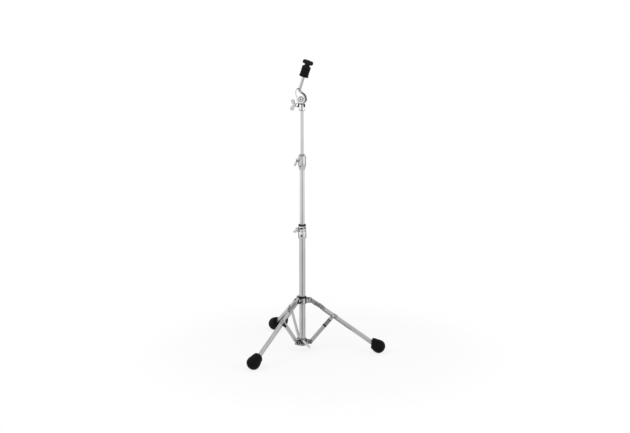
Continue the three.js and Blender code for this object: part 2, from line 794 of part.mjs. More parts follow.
// Tilter base in the tilter's frame: the pivot is the origin, the hinge runs along Y
function tilterBase() {
  const stemTop = -cheekRadius - stemClearance;
  const bottom = -stemDrop;
  const rim = stemRadius - stemChamfer;
  const stem = turned([
    [0, bottom], [rim, bottom], [stemRadius, bottom + stemChamfer], [stemRadius, stemTop - stemChamfer],
    [rim, stemTop], [0, stemTop],
  ]);
  const knuckle = crossRod(cheekRadius - knuckleRecess, knuckleHalfWidth * 2, 0, 0, roundSides);
  const neck = block(-stemNeckHalfWidth, stemNeckHalfWidth, knuckleHalfWidth, stemTop - stemChamfer * 2, 0);
  const lugLow = -tilterLugDrop - tilterLugHalfHeight;
  const lug = block(-tilterLugReach, 0, knuckleHalfWidth, lugLow, lugLow + tilterLugHalfHeight * 2);
  const whole = join(stem, knuckle, neck, lug);
  const tubeSocket = rod(topTubeRadius + fit, bottom - overrun, bottom + stemTubeDepth + fit, roundSides);
  const pivotHole = crossRod(pivotBoltRadius + fit, stemRadius * 2 + overrun, 0, 0);
  const split = block(-tilterSplit / 2, tilterSplit / 2, stemRadius, bottom, 0).rotateY(tilterSplitAngle);
  const boltHole = rod(tilterBoltRadius + fit, tilterBoltDepth, tilterLugReach + overrun);
  boltHole.rotateY(-quarterTurn).translate(0, 0, -tilterLugDrop);
  return piece('tilter_base', cut(whole, tubeSocket, pivotHole, split, boltHole), castMetal());
}

function tilterWingBolt() {
  const seat = tilterLugReach + fit;
  const shank = seat - tilterBoltDepth - fit;
  const wing = wingBolt('tilter_wing_bolt', tilterBoltRadius, shank, tilterWingAngle);
  wing.position.set(0, seat, 0);
  const group = groupAt(0, 0, -tilterLugDrop, [wing]);
  group.rotation.z = quarterTurn;
  return group;
}

// Outline of a cheek of the arm: a disc on the pivot with a nose that holds the rod
function cheekShape() {
  const shape = new THREE.Shape();
  const [lastX, lastZ] = noseOutlineShares[noseOutlineShares.length - 1];
  const from = Math.atan2(lastZ, lastX);
  shape.absarc(0, 0, cheekRadius, from, from + cheekArcAngle, false);
  for (const [x, z] of noseOutlineShares) shape.lineTo(x * cheekRadius, z * cheekRadius);
  return shape;
}

// Forked arm: two cheeks, a web between them that holds the rod, and a raised ring on each face
function tilterArm() {
  const wall = cheekHalfWidth - knuckleHalfWidth - fit;
  const cheeks = cheekPair(cheekShape(), (knuckleHalfWidth + fit) * 2, wall);
  const face = cheekHalfWidth + discReliefHeight;
  const ring = (side) => {
    const disc = rod(discReliefRadius, cheekHalfWidth - wall / 2, face, roundSides);
    return disc.rotateX(side * quarterTurn);
  };
  const side = cheekRadius * noseWebSideShare;
  const far = cheekRadius * 3;
  const web = cut(
    plate(cheekShape(), cheekHalfWidth * 2 - wall),
    crossRod(cheekRadius + fit, far, 0, 0, roundSides),
    block(-side, far, far, -far, far),
    block(-far, 0, far, -far, side),
  );
  const whole = join(...cheeks, ring(1), ring(-1), web);
  const rodHole = rod(rodRadius + fit, rodBottom - fit, rodShoulder).translate(-rodOffset, 0, 0);
  const pivotHole = crossRod(pivotBoltRadius + fit, far, 0, 0);
  return piece('tilter_arm', cut(whole, rodHole, pivotHole), castMetal());
}

function tilterPivotBolt() {
  const face = cheekHalfWidth + discReliefHeight + fit;
  const front = face + pivotHeadHeight;
  const bolt = turned([
    [0, -front], [pivotHeadRadius, -front], [pivotHeadRadius, -face], [pivotBoltRadius, -face],
    [pivotBoltRadius, front], [0, front],
  ], smallSides).rotateX(-quarterTurn);
  const socket = rod(pivotSocketRadius, -front - overrun, -face, hexagonSides).rotateX(-quarterTurn);
  return piece('tilter_pivot_bolt', cut(bolt, socket), chrome());
}

function tilterPivotNut() {
  const face = cheekHalfWidth + discReliefHeight + fit;
  const hexagon = rod(pivotHeadRadius, face, face + pivotHeadHeight, hexagonSides);
  const nut = cut(hexagon, rod(pivotBoltRadius + fit, face - overrun, face + pivotHeadHeight + overrun));
  return piece('tilter_pivot_nut', nut.rotateX(-quarterTurn), chrome());
}

function cymbalRod() {
  const rim = rodRadius - rodChamfer;
  return piece('cymbal_rod', turned([
    [0, rodBottom], [rim, rodBottom], [rodRadius, rodBottom + rodChamfer],
    [rodRadius, rodShoulder - rodChamfer], [rim, rodShoulder], [rodThreadRadius, rodShoulder],
    [rodThreadRadius, rodTop - rodChamfer], [rodThreadRadius - rodChamfer, rodTop], [0, rodTop],
  ], smallSides), chrome());
}

const stackBore = rodThreadRadius + fit;
const sleeveRadius = stackBore + sleeveWall;
const seatBottom = rodShoulder + fit;
const lowerFeltBottom = seatBottom + seatHeight + fit;
const upperFeltBottom = lowerFeltBottom + lowerFeltHeight + cymbalGap;
const washerBottom = upperFeltBottom + upperFeltHeight + fit;
const nutBottom = washerBottom + washerHeight + fit;
const nutShoulder = nutBottom + nutNeckHeight;

function cymbalSeat() {
  const seat = pipe(seatRadius, stackBore, seatBottom, seatBottom + seatHeight);
  return piece('cymbal_seat', seat, blackNylon());
}

function felt(name, bottom, height) {
  const bore = sleeveRadius + fit;
  const top = bottom + height;
  return piece(name, turned([
    [bore, bottom], [feltRadius - feltRound, bottom], [feltRadius, bottom + feltRound],
    [feltRadius, top - feltRound], [feltRadius - feltRound, top], [bore, top], [bore, bottom],
  ]), blackFelt());
}

function cymbalSleeve() {
  const sleeve = pipe(sleeveRadius, stackBore, lowerFeltBottom, lowerFeltBottom + sleeveHeight);
  return piece('cymbal_sleeve', sleeve, blackNylon());
}

function topperWasher() {
  const middle = washerBottom + washerHeight / 2;
  const top = washerBottom + washerHeight;
  return piece('topper_washer', turned([
    [stackBore, washerBottom], [washerRadius, washerBottom], [washerRadius, middle],
    [washerRadius * washerTopShare, top], [stackBore, top], [stackBore, washerBottom],
  ]), blackNylon());
}

// T-shaped hand nut: a round neck and a wide grip with a crowned top, blind above the thread
function topperNut() {
  const top = nutShoulder + nutWingHeight;
  const edge = top - nutWingCrown;
  const shape = new THREE.Shape();
  shape.moveTo(-nutWingHalfSpan + nutWingCorner, nutShoulder);
  shape.lineTo(nutWingHalfSpan - nutWingCorner, nutShoulder);
  shape.lineTo(nutWingHalfSpan, nutShoulder + nutWingCorner);
  shape.lineTo(nutWingHalfSpan, edge - nutWingCorner);
  shape.quadraticCurveTo(nutWingHalfSpan, edge, nutWingHalfSpan - nutWingCorner, edge);
  shape.quadraticCurveTo(0, top + nutWingCrown, -nutWingHalfSpan + nutWingCorner, edge);
  shape.quadraticCurveTo(-nutWingHalfSpan, edge, -nutWingHalfSpan, edge - nutWingCorner);
  shape.lineTo(-nutWingHalfSpan, nutShoulder + nutWingCorner);
  const neck = rod(nutNeckRadius, nutBottom, nutShoulder + overrun, roundSides);
  const bore = rod(stackBore, nutBottom - overrun, rodTop + fit);
  return piece('topper_nut', cut(join(plate(shape, nutWingThickness), neck), bore), blackNylon());
}

function tilterGroup() {
  const stack = groupAt(-rodOffset, 0, 0, [
    cymbalRod(), cymbalSeat(), felt('lower_felt', lowerFeltBottom, lowerFeltHeight),
    felt('upper_felt', upperFeltBottom, upperFeltHeight), cymbalSleeve(), topperWasher(), topperNut(),
  ]);
  const arm = groupAt(0, 0, 0, [tilterArm(), tilterPivotBolt(), tilterPivotNut(), stack]);
  arm.rotation.y = rodLeanAngle;
  const group = groupAt(0, 0, pivotHeight, [tilterBase(), tilterWingBolt(), arm]);
  group.rotation.z = tilterAngle;
  return group;
}

const stand = new THREE.Group();
stand.add(
  tube('base_tube', baseTubeRadius, baseTubeWall, baseTubeBottom, baseTubeTop),
  endPlug(),
  lowerCollar(),
  collarWingBolt(),
  legHub(),
  hubRing(),
  clampGroup('base_clamp', baseClamp, baseClampBottom),
  tube('middle_tube', middleTubeRadius, middleTubeWall, middleTubeTop - middleTubeLength, middleTubeTop),
  clampGroup('mid_clamp', midClamp, midClampBottom),
  tube('top_tube', topTubeRadius, topTubeWall, topTubeTop - topTubeLength, topTubeTop),
  tilterGroup(),
);
for (let i = 0; i < legCount; i += 1) stand.add(legGroup(i + 1, i * fullTurn / legCount));

// The origin goes to the bottom centre of the box round the whole stand
stand.updateMatrixWorld(true);
const box = new THREE.Box3().setFromObject(stand, true);
const centre = box.getCenter(new THREE.Vector3());
stand.position.set(-centre.x, -centre.y, -box.min.z);

export default stand;
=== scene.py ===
"""Straight cymbal stand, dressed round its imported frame. Lengths are millimetres until a piece is placed."""
from math import atan, atan2, cos, degrees, hypot, pi, radians, sin

import bmesh
import bpy
from mathutils import Matrix, Vector, noise

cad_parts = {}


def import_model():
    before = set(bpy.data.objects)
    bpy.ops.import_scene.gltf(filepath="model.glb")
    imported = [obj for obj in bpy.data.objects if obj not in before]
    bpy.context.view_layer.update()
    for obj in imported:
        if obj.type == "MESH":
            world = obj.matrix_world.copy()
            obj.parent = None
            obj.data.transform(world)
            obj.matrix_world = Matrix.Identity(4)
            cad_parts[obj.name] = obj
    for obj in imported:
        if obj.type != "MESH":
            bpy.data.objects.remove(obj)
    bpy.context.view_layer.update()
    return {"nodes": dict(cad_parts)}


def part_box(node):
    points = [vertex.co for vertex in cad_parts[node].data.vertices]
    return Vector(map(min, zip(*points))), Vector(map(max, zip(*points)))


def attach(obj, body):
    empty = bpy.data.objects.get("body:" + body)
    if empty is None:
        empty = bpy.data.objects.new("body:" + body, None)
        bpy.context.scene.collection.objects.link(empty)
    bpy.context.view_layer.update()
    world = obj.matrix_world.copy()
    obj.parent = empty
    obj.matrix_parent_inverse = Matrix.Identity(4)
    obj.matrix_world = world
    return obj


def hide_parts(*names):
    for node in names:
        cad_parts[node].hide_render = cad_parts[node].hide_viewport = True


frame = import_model()

# Clearances and roundness
FIT = 0.3
OVERRUN = 3.0
COARSE_ROUND = 32
SMALL_ROUND = 40
MEDIUM_ROUND = 48
ROUND = 64
FINE_ROUND = 96
ARC_STEPS = 12
SMOOTH_ANGLE = radians(38)
MILLIMETRE = 0.001
QUARTER = pi / 2

# Places that the frame gives
tube_low, tube_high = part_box("base_tube")
COLUMN_X = (tube_low.x + tube_high.x) / 2 / MILLIMETRE
LEG_ANGLES = [radians(120 * i) for i in range(3)]

# Tripod
HUB_PIN = (36.0, 244.958)
BRACE_PIN = (144.3, 170.998)
COLLAR_PIN = (38.0, 41.0)
LEG_SLOPE = radians(34.33)
LEG_REACH = 318.0
FOOT_HEIGHT = 51.274
FOOT_SLOPE = radians(30)
# Radii of the base, middle and top tube
TUBE_RADIUS = 14.3
MIDDLE_RADIUS = 11.1
TOP_RADIUS = 7.95

# Column heights
BASE_CLAMP_BOTTOM = 529.7
MID_CLAMP_BOTTOM = 849.0
PIVOT_HEIGHT = 1169.5
TILTER_TURN = radians(-11.4)
ROD_LEAN = radians(18.4)
ROD_OFFSET = 24.0


# ---- shapes ----

def fill_outline(points):
    """A new bmesh with one face in the X-Z plane."""
    bm = bmesh.new()
    bm.faces.new([bm.verts.new((x, 0, z)) for x, z in points])
    return bm


def plate(points, thickness, edge=0.0, segments=3):
    """A plate from an outline in the X-Z plane, centred on Y = 0, with its edges rounded."""
    bm = fill_outline(points)
    bmesh.ops.translate(bm, verts=bm.verts, vec=(0, -thickness / 2, 0))
    made = bmesh.ops.extrude_face_region(bm, geom=bm.faces[:])
    far_side = [item for item in made["geom"] if isinstance(item, bmesh.types.BMVert)]
    bmesh.ops.translate(bm, verts=far_side, vec=(0, thickness, 0))
    bmesh.ops.recalc_face_normals(bm, faces=bm.faces)
    return soften(bm, edge, segments)


def bevel(bm, edges, offset, segments):
    bmesh.ops.bevel(bm, geom=edges, offset=offset, offset_type="OFFSET", segments=segments, profile=0.5,
                    affect="EDGES", material=-1, clamp_overlap=True)
    return bm


def soften(bm, offset, segments=3, angle=30.0):
    """Rounds every edge that is sharper than an angle; an offset of 0 leaves the solid as it is."""
    if not offset:
        return bm
    limit = radians(angle)
    sharp = [e for e in bm.edges if e.is_manifold and e.calc_face_angle(0) > limit]
    return bevel(bm, sharp, offset, segments)


def stepped(bottom, *steps, inner=0.0):
    """Outline of a stack of cylinders, each given as its radius and its top."""
    points = [(inner, bottom)]
    for radius, top in steps:
        points += [(radius, bottom), (radius, top)]
        bottom = top
    return points + [(inner, bottom)]


def spun(outline, steps=FINE_ROUND):
    """A solid of revolution about Z from an outline of radius and height; a ring where it stays off the axis."""
    bm = bmesh.new()
    verts = [bm.verts.new((radius, 0, height)) for radius, height in outline]
    pairs = list(zip(verts, verts[1:])) + ([(verts[-1], verts[0])] if outline[0][0] > 0 else [])
    edges = [bm.edges.new(pair) for pair in pairs]
    bmesh.ops.spin(bm, geom=verts + edges, cent=(0, 0, 0), axis=(0, 0, 1), angle=2 * pi,
                   steps=steps, use_merge=True, use_duplicate=False)
    bmesh.ops.remove_doubles(bm, verts=bm.verts, dist=0.001)
    bmesh.ops.recalc_face_normals(bm, faces=bm.faces)
    return bm


def rod(radius, bottom, top, edge=0.0, steps=FINE_ROUND):
    return soften(spun(stepped(bottom, (radius, top)), steps), edge)


def pipe(outer, inner, bottom, top, edge=0.4, steps=FINE_ROUND):
    return soften(spun(stepped(bottom, (outer, top), inner=inner), steps), edge)


def hexagon(radius, bottom, top, edge=0.0):
    bm = bmesh.new()
    bmesh.ops.create_cone(bm, cap_ends=True, segments=6, radius1=radius, radius2=radius, depth=top - bottom)
    bmesh.ops.translate(bm, verts=bm.verts, vec=(0, 0, (bottom + top) / 2))
    return soften(bm, edge, 2)


def block(low, high, edge=0.0):
    """A box between two corners."""
    bm = bmesh.new()
    bmesh.ops.create_cube(bm, size=1)
    size = [b - a for a, b in zip(low, high)]
    middle = [(a + b) / 2 for a, b in zip(low, high)]
    bmesh.ops.scale(bm, verts=bm.verts, vec=size)
    bmesh.ops.translate(bm, verts=bm.verts, vec=middle)
    return soften(bm, edge)


def moved(bm, matrix):
    bmesh.ops.transform(bm, matrix=matrix, verts=bm.verts)
    return bm


def shift(x=0.0, y=0.0, z=0.0):
    return Matrix.Translation((x, y, z))


def turn(angle, axis="Z"):
    return Matrix.Rotation(angle, 4, axis)


ALONG_Y = turn(-QUARTER, "X")
ALONG_MINUS_Y = turn(QUARTER, "X")
ALONG_X = turn(QUARTER, "Y")
BOTH_SIDES = (ALONG_Y, ALONG_MINUS_Y)


def arc(x, z, radius, start, end, steps=0):
    """Points of an arc between two angles in degrees, by default with the same steps in each quarter."""
    steps = steps or round(abs(end - start) / 90 * ARC_STEPS)
    turns = [radians(start + (end - start) * i / steps) for i in range(steps + 1)]
    return [(x + radius * cos(a), z + radius * sin(a)) for a in turns]


def upright_edges(bm, height):
    """The edges that rise by more than a height."""
    return [e for e in bm.edges if abs(e.verts[0].co.z - e.verts[1].co.z) > height]


def mesh_from(name, bm):
    mesh = bpy.data.meshes.new(name)
    bm.to_mesh(mesh)
    bm.free()
    return mesh


def in_scene(name, data):
    obj = bpy.data.objects.new(name, data)
    bpy.context.scene.collection.objects.link(obj)
    return obj


def lump(parts):
    """Several closed shells in one bmesh."""
    whole = bmesh.new()
    for part in parts:
        mesh = mesh_from("part", part)
        whole.from_mesh(mesh)
        bpy.data.meshes.remove(mesh)
    return whole


def helper(bm):
    return in_scene("helper", mesh_from("helper", bm))


def carved(base, joins=(), cuts=()):
    """Joins solids to a solid, cuts others from it, and gives back the result as a bmesh."""
    obj = helper(base)
    tools = []
    for operation, parts in (("UNION", joins), ("DIFFERENCE", cuts)):
        for part in parts:
            tool = helper(part)
            tools.append(tool)
            modifier = obj.modifiers.new(operation, "BOOLEAN")
            modifier.operation = operation
            modifier.solver = "EXACT"
            modifier.object = tool
    bpy.context.view_layer.update()
    shaped = obj.evaluated_get(bpy.context.evaluated_depsgraph_get())
    result = bmesh.new()
    result.from_mesh(shaped.to_mesh())
    shaped.to_mesh_clear()
    for item in [obj] + tools:
        bpy.data.meshes.remove(item.data)
    bmesh.ops.remove_doubles(result, verts=result.verts, dist=0.002)
    bmesh.ops.dissolve_degenerate(result, edges=result.edges, dist=0.002)
    return result


def around_legs(make):
    return lump([moved(make(), turn(angle)) for angle in LEG_ANGLES])


# ---- finishes ----

SOCKETS = {"Value": "NodeSocketFloat", "Color": "NodeSocketColor", "Normal": "NodeSocketVector"}


def group_of(name, output, **inputs):
    """A node group with its sockets; gives the group, its input node and its output node."""
    tree = bpy.data.node_groups.new(name, "ShaderNodeTree")
    for label, value in inputs.items():
        kind = SOCKETS["Color" if isinstance(value, tuple) else "Value"]
        tree.interface.new_socket(name=label, in_out="INPUT", socket_type=kind).default_value = value
    tree.interface.new_socket(name=output, in_out="OUTPUT", socket_type=SOCKETS[output])
    return tree, tree.nodes.new("NodeGroupInput"), tree.nodes.new("NodeGroupOutput")


def feed(tree, node, values):
    """Gives a node's inputs their values, or links them to a node or to a node's output of some name."""
    for socket, value in values.items():
        pair = isinstance(value, tuple) and isinstance(value[0], bpy.types.Node)
        source, output = value if pair else (value, 0)
        if isinstance(source, bpy.types.Node):
            tree.links.new(source.outputs[output], node.inputs[socket])
        else:
            node.inputs[socket].default_value = value


def new_node(tree, kind, values=None, **settings):
    """A shader node with its settings and what its inputs are fed."""
    node = tree.nodes.new(f"ShaderNode{kind}")
    for name, setting in settings.items():
        setattr(node, name, setting)
    feed(tree, node, values or {})
    return node


def maths(tree, operation, *values):
    return new_node(tree, "Math", dict(enumerate(values)), operation=operation)


def span_node(tree, value, span, **settings):
    """Gives 0 at the low end of a span of values and 1 at its high end."""
    return new_node(tree, "MapRange", {"Value": value, "From Min": span[0], "From Max": span[1]}, **settings)


def noise_node(tree, inputs, detail=4.0, roughness=0.55):
    """Noise in the object's own space, at the scale that its group is given."""
    place = new_node(tree, "TexCoord")
    return new_node(tree, "TexNoise", {"Vector": (place, "Object"), "Scale": (inputs, "Scale"), "Detail": detail,
                                       "Roughness": roughness})


# Part of the noise over which a gloss or a colour goes from end to end; part of the open share for painted shade
GLOSS_SPAN = (0.32, 0.68)
COLOUR_SPAN = (0.35, 0.65)
PAINTED_SHADE_SPAN = (0.6, 0.97)
# Heights of the relief, in metres
GRAIN_HEIGHT = 0.0004
FIBRE_HEIGHT = 0.0006
# Samples that the painted shade at edges and in creases takes
PAINTED_SHADE_SAMPLES = 8


def patchy_value_group():
    """A value that drifts between two ends in soft patches, such as smudges on a polish."""
    tree, inputs, outputs = group_of("patchy_value", "Value", Scale=30.0, Low=0.1, High=0.2)
    spread = span_node(tree, noise_node(tree, inputs), GLOSS_SPAN)
    feed(tree, spread, {"To Min": (inputs, "Low"), "To Max": (inputs, "High")})
    feed(tree, outputs, {"Value": spread})
    return tree


def patchy_colour_group():
    """A colour that drifts between two tones."""
    tree, inputs, outputs = group_of("patchy_colour", "Color", Scale=30.0, First=grey(0), Second=grey(1))
    spread = span_node(tree, noise_node(tree, inputs, 5.0, 0.6), COLOUR_SPAN)
    mix = new_node(tree, "MixRGB", {"Fac": spread, "Color1": (inputs, "First"), "Color2": (inputs, "Second")})
    feed(tree, outputs, {"Color": mix})
    return tree


def grain_group():
    """Fine relief: the ripple of plating, the spark grain of moulded plastic or the pores of rubber."""
    tree, inputs, outputs = group_of("grain", "Normal", Scale=800.0, Depth=0.1)
    bump = new_node(tree, "Bump", {"Height": noise_node(tree, inputs, 3.0, 0.6), "Strength": (inputs, "Depth"),
                                   "Distance": GRAIN_HEIGHT})
    feed(tree, outputs, {"Normal": bump})
    return tree


def grey(value):
    return (value, value, value, 1)


GROUPS = {"value": patchy_value_group(), "colour": patchy_colour_group(), "grain": grain_group()}


def place_group(tree, key, **values):
    return new_node(tree, "Group", values, node_tree=GROUPS[key])


def open_share(tree, reach, inside):
    """How much of its surroundings a point can see within a reach: low in creases, or at edges from inside."""
    node = new_node(tree, "AmbientOcclusion", {"Distance": reach * MILLIMETRE}, inside=inside, only_local=True,
                    samples=PAINTED_SHADE_SAMPLES)
    return node, "AO"


def material_of(name, values):
    """A material with values of its shader; gives the material, its nodes and the shader."""
    material = bpy.data.materials.new(name)
    material.use_nodes = True
    tree = material.node_tree
    shader = tree.nodes["Principled BSDF"]
    feed(tree, shader, values)
    return material, tree, shader


def finish_of(name, tones, tone_scale, rough, rough_scale, grain_scale, grain_depth, metallic=0.0, shine=0.5,
              painted_shade=None):
    """Drifting colour and gloss, a fine relief and, where a finish has it, painted shade at edges and in creases."""
    material, tree, shader = material_of(name, {"Metallic": metallic, "Specular IOR Level": shine})
    colour = place_group(tree, "colour", Scale=tone_scale, First=tones[0], Second=tones[1])
    gloss = place_group(tree, "value", Scale=rough_scale, Low=rough[0], High=rough[1])
    relief = place_group(tree, "grain", Scale=grain_scale, Depth=grain_depth)
    # Painted shade: the colour goes to a dark tone where an edge is thin or a crease is close, as if shade fell
    # there
    if painted_shade:
        tone, edge_reach, crease_reach = painted_shade
        clear = maths(tree, "MULTIPLY", open_share(tree, edge_reach, True), open_share(tree, crease_reach, False))
        unshaded = span_node(tree, clear, PAINTED_SHADE_SPAN)
        colour = new_node(tree, "MixRGB", {"Fac": unshaded, "Color1": grey(tone), "Color2": colour})
    feed(tree, shader, {"Base Color": colour, "Roughness": gloss, "Normal": relief})
    return material


def felt_finish():
    """Pressed black felt: matted fibres with a soft sheen."""
    material, tree, shader = material_of(
        "black_felt",
        {"Roughness": 0.95, "Specular IOR Level": 0.1, "Sheen Weight": 0.04, "Sheen Roughness": 0.6})
    colour = place_group(tree, "colour", Scale=700.0, First=grey(0.003), Second=grey(0.011))
    place = new_node(tree, "TexCoord")
    stretch = new_node(tree, "Mapping", {"Vector": (place, "Object"), "Scale": (1.0, 1.0, 2.6)})
    fibres = new_node(tree, "TexVoronoi", {"Vector": stretch, "Scale": 900.0})
    bump = new_node(tree, "Bump", {"Height": fibres, "Strength": 0.7, "Distance": FIBRE_HEIGHT})
    feed(tree, shader, {"Base Color": colour, "Normal": bump})
    return material


DRAWN_TONES = ((0.60, 0.605, 0.615, 1), (0.64, 0.645, 0.65, 1))
CAST_TONES = ((0.62, 0.625, 0.635, 1), (0.68, 0.685, 0.69, 1))
CLAMP_TONES = ((0.66, 0.665, 0.675, 1), (0.72, 0.725, 0.73, 1))
PALE_TONES = ((0.80, 0.805, 0.81, 1), (0.86, 0.86, 0.865, 1))
CASTING = (30.0, (0.06, 0.12), 60.0, 420.0, 0.02, 1.0, 0.5)
# The two tones and their scale, both ends of the roughness and its scale, scale and depth of the relief, metal,
# shine, and for painted shade at edges and in creases its tone and its reach in millimetres at edges and in creases
FINISH_VALUES = {
    "chrome": (DRAWN_TONES, 9.0, (0.04, 0.08), 22.0, 260.0, 0.004, 1.0),
    "cast_chrome": (CAST_TONES, *CASTING, (0.04, 3.9, 9.0)),
    "wing_chrome": (PALE_TONES, *CASTING, (0.06, 3.4, 3.5)),
    "clamp_chrome": (CLAMP_TONES, *CASTING, (0.03, 0.9, 7.0)),
    "tilter_chrome": (PALE_TONES, *CASTING, (0.04, 5.0, 3.0)),
    "leg_chrome": (DRAWN_TONES, 9.0, (0.26, 0.32), 22.0, 260.0, 0.004, 1.0),
    "bracket_steel": ((grey(0.40), grey(0.46)), 60.0, (0.1, 0.2), 60.0, 420.0, 0.03, 1.0),
    "black_nylon": ((grey(0.005), grey(0.009)), 40.0, (0.36, 0.5), 90.0, 2600.0, 0.35, 0.0, 0.2),
    "black_rubber": ((grey(0.004), grey(0.007)), 45.0, (0.5, 0.7), 60.0, 1500.0, 0.45, 0.0, 0.08),
    "badge": ((grey(0.19), grey(0.24)), 120.0, (0.28, 0.4), 150.0, 900.0, 0.1, 0.6),
}
FINISHES = {name: finish_of(name, *values) for name, values in FINISH_VALUES.items()}
FINISHES["black_felt"] = felt_finish()


# ---- placing ----

COLUMN = shift(COLUMN_X)
LEG_FRAMES = [COLUMN @ turn(angle) for angle in LEG_ANGLES]
BRACE_RUN = BRACE_PIN[0] - COLLAR_PIN[0]
BRACE_RISE = BRACE_PIN[1] - COLLAR_PIN[1]
BRACE_LENGTH = hypot(BRACE_RUN, BRACE_RISE)
BRACE_LEAN = atan2(BRACE_RUN, BRACE_RISE)
TILTER = COLUMN @ shift(z=PIVOT_HEIGHT) @ turn(TILTER_TURN)
ARM = TILTER @ turn(ROD_LEAN, "Y")
STACK = ARM @ shift(-ROD_OFFSET)


def brace_frame(index):
    return LEG_FRAMES[index] @ shift(COLLAR_PIN[0], 0, COLLAR_PIN[1]) @ turn(BRACE_LEAN, "Y")


def add(name, bm, place, finish, body, stands_for=None):
    """Places a shape, gives it its finish and lets it ride on its body."""
    mesh = mesh_from(name, moved(bm, Matrix.Scale(MILLIMETRE, 4) @ place))
    mesh.materials.append(FINISHES[finish])
    mesh.shade_smooth()
    mesh.set_sharp_from_angle(angle=SMOOTH_ANGLE)
    obj = in_scene(name, mesh)
    obj.modifiers.new("even_normals", "WEIGHTED_NORMAL").keep_sharp = True
    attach(obj, body)
    if stands_for:
        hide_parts(stands_for)


def dress(node, bm, place, finish, body):
    """A shape that stands for the CAD node of the same name."""
    add(f"{node}_look", bm, place, finish, body, node)


# ---- tripod ----

LEG_WIDTH = 14.0
LEG_HEIGHT = 19.5
LEG_WALL = 1.5
LEG_TAIL = 8.0
LEG_IN_FOOT = 22.0
LEG_TO_FOOT = (LEG_REACH - HUB_PIN[0]) / cos(LEG_SLOPE)
LEG_RUN = LEG_TO_FOOT + LEG_IN_FOOT
# Start, end and height of the low hump below the hub
JOGGLE = (28.0, 84.0, 2.3)
JOGGLE_STEPS = 14


def channel(outer, inner, bottom):
    """Outline across the leg, round over its back and open below; solid where the inner radius is 0."""
    centre = LEG_HEIGHT / 2 - LEG_WIDTH / 2
    points = [(outer, bottom)] + arc(0, centre, outer, 0, 180) + [(-outer, bottom)]
    if inner:
        points += [(-inner, bottom)] + arc(0, centre, inner, 180, 0) + [(inner, bottom)]
    return points


def leg_station(distance):
    """The leg's own frame at a distance from the hub pin: Y runs along the leg and Z up its back."""
    first, last, rise = JOGGLE
    share = min(max((distance - first) / (last - first), 0), 1)
    lift = rise * sin(share * pi) ** 2
    lean = rise * pi / (last - first) * sin(2 * pi * share)
    along = shift(HUB_PIN[0], 0, HUB_PIN[1]) @ turn(LEG_SLOPE, "Y") @ shift(distance, 0, lift)
    return along @ turn(-atan(lean), "Y") @ turn(-QUARTER)


def swept_section(points, distances):
    """Carries an outline along the leg by extruding it from station to station."""
    bm = fill_outline(points)
    before = leg_station(distances[0])
    bmesh.ops.transform(bm, matrix=before, verts=bm.verts)
    end = bm.faces[:]
    for distance in distances[1:]:
        here = leg_station(distance)
        made = bmesh.ops.extrude_face_region(bm, geom=end)
        verts = [item for item in made["geom"] if isinstance(item, bmesh.types.BMVert)]
        bmesh.ops.transform(bm, matrix=here @ before.inverted(), verts=verts)
        end = [item for item in made["geom"] if isinstance(item, bmesh.types.BMFace)]
        before = here
    bmesh.ops.recalc_face_normals(bm, faces=bm.faces)
    return bm


def leg_shape():
    first, last, _ = JOGGLE
    steps = [first + (last - first) * i / JOGGLE_STEPS for i in range(JOGGLE_STEPS + 1)]
    outline = channel(LEG_WIDTH / 2, LEG_WIDTH / 2 - LEG_WALL, -LEG_HEIGHT / 2)
    return soften(swept_section(outline, [-LEG_TAIL] + steps + [LEG_RUN]), 0.35, 2, 50)


# Ends of the bracket along the leg, from the brace pin
BRACKET = (-3.0, 19.0)
BRACKET_WALL = 1.5
BRACKET_DROP = 6.0
PIN_DISTANCE = (BRACE_PIN[0] - HUB_PIN[0]) / cos(LEG_SLOPE)


def bracket_shape():
    """Steel saddle over the back of the leg at the brace pin, with rolled corners."""
    inner = LEG_WIDTH / 2 + FIT
    outline = channel(inner + BRACKET_WALL, inner, -BRACKET_DROP)
    return soften(swept_section(outline, [PIN_DISTANCE + end for end in BRACKET]), 0.45, 2, 50)


RIVET_RADIUS = 3.0
HEAD_RADIUS = 5.2
HEAD_HEIGHT = 2.2
# Radius and height at each step of a domed head, as shares
DOME = ((1.0, 0.0), (1.0, 0.3), (0.93, 0.58), (0.78, 0.82), (0.55, 0.95), (0.0, 1.0))


def dome(base):
    """Outline of a domed head, from its rim up to its middle."""
    return [(HEAD_RADIUS * out, base + HEAD_HEIGHT * up) for out, up in DOME]


def rivet_shape(width):
    """Rivet along Y with a domed head beyond each side."""
    shank = width / 2 + FIT
    top = dome(shank)
    outline = [(r, -z) for r, z in reversed(top)] + [(RIVET_RADIUS, -shank), (RIVET_RADIUS, shank)] + top
    return moved(spun(outline, SMALL_ROUND), ALONG_Y)


WASHER_THICKNESS = 0.9
HUB_WASHER = 7.6
COLLAR_WASHER = 9.4


def washer_pair(gap, radius):
    """Nylon washers along Y, under the heads on both sides of a pair of cheeks."""
    ends = (gap / 2, gap / 2 + WASHER_THICKNESS)
    return lump([moved(pipe(radius, RIVET_RADIUS + FIT, *ends, 0.3, ROUND), side) for side in BOTH_SIDES])


def cap_pair(gap):
    """Turned caps along Y with a hollow centre, on the washers at both ends of a collar pin."""
    outer, height, edge, play = 7.4, 2.2, 1.0, 0.1
    inner = HEAD_RADIUS + play
    base = gap / 2 + WASHER_THICKNESS + play
    top = base + height
    outline = [(inner, base), (outer, base), (outer, top - edge), (outer - edge, top), (inner, top)]
    return lump([moved(soften(spun(outline, MEDIUM_ROUND), 0.3, 2, 20), side) for side in BOTH_SIDES])


HUB_WALL = 5.4
HUB_BOTTOM = HUB_PIN[1] - 20.5
HUB_TOP = HUB_PIN[1] + 7.0
HUB_RADIUS = TUBE_RADIUS + FIT + HUB_WALL
CHEEK = 4.0
CHEEK_ROOT = 2.0
BARREL_WAIST = 0.9


def cheek_pair(points, gap, thickness, edge=0.8):
    offset = gap / 2 + thickness / 2
    return [moved(plate(points, thickness, edge), shift(y=side * offset)) for side in (1, -1)]


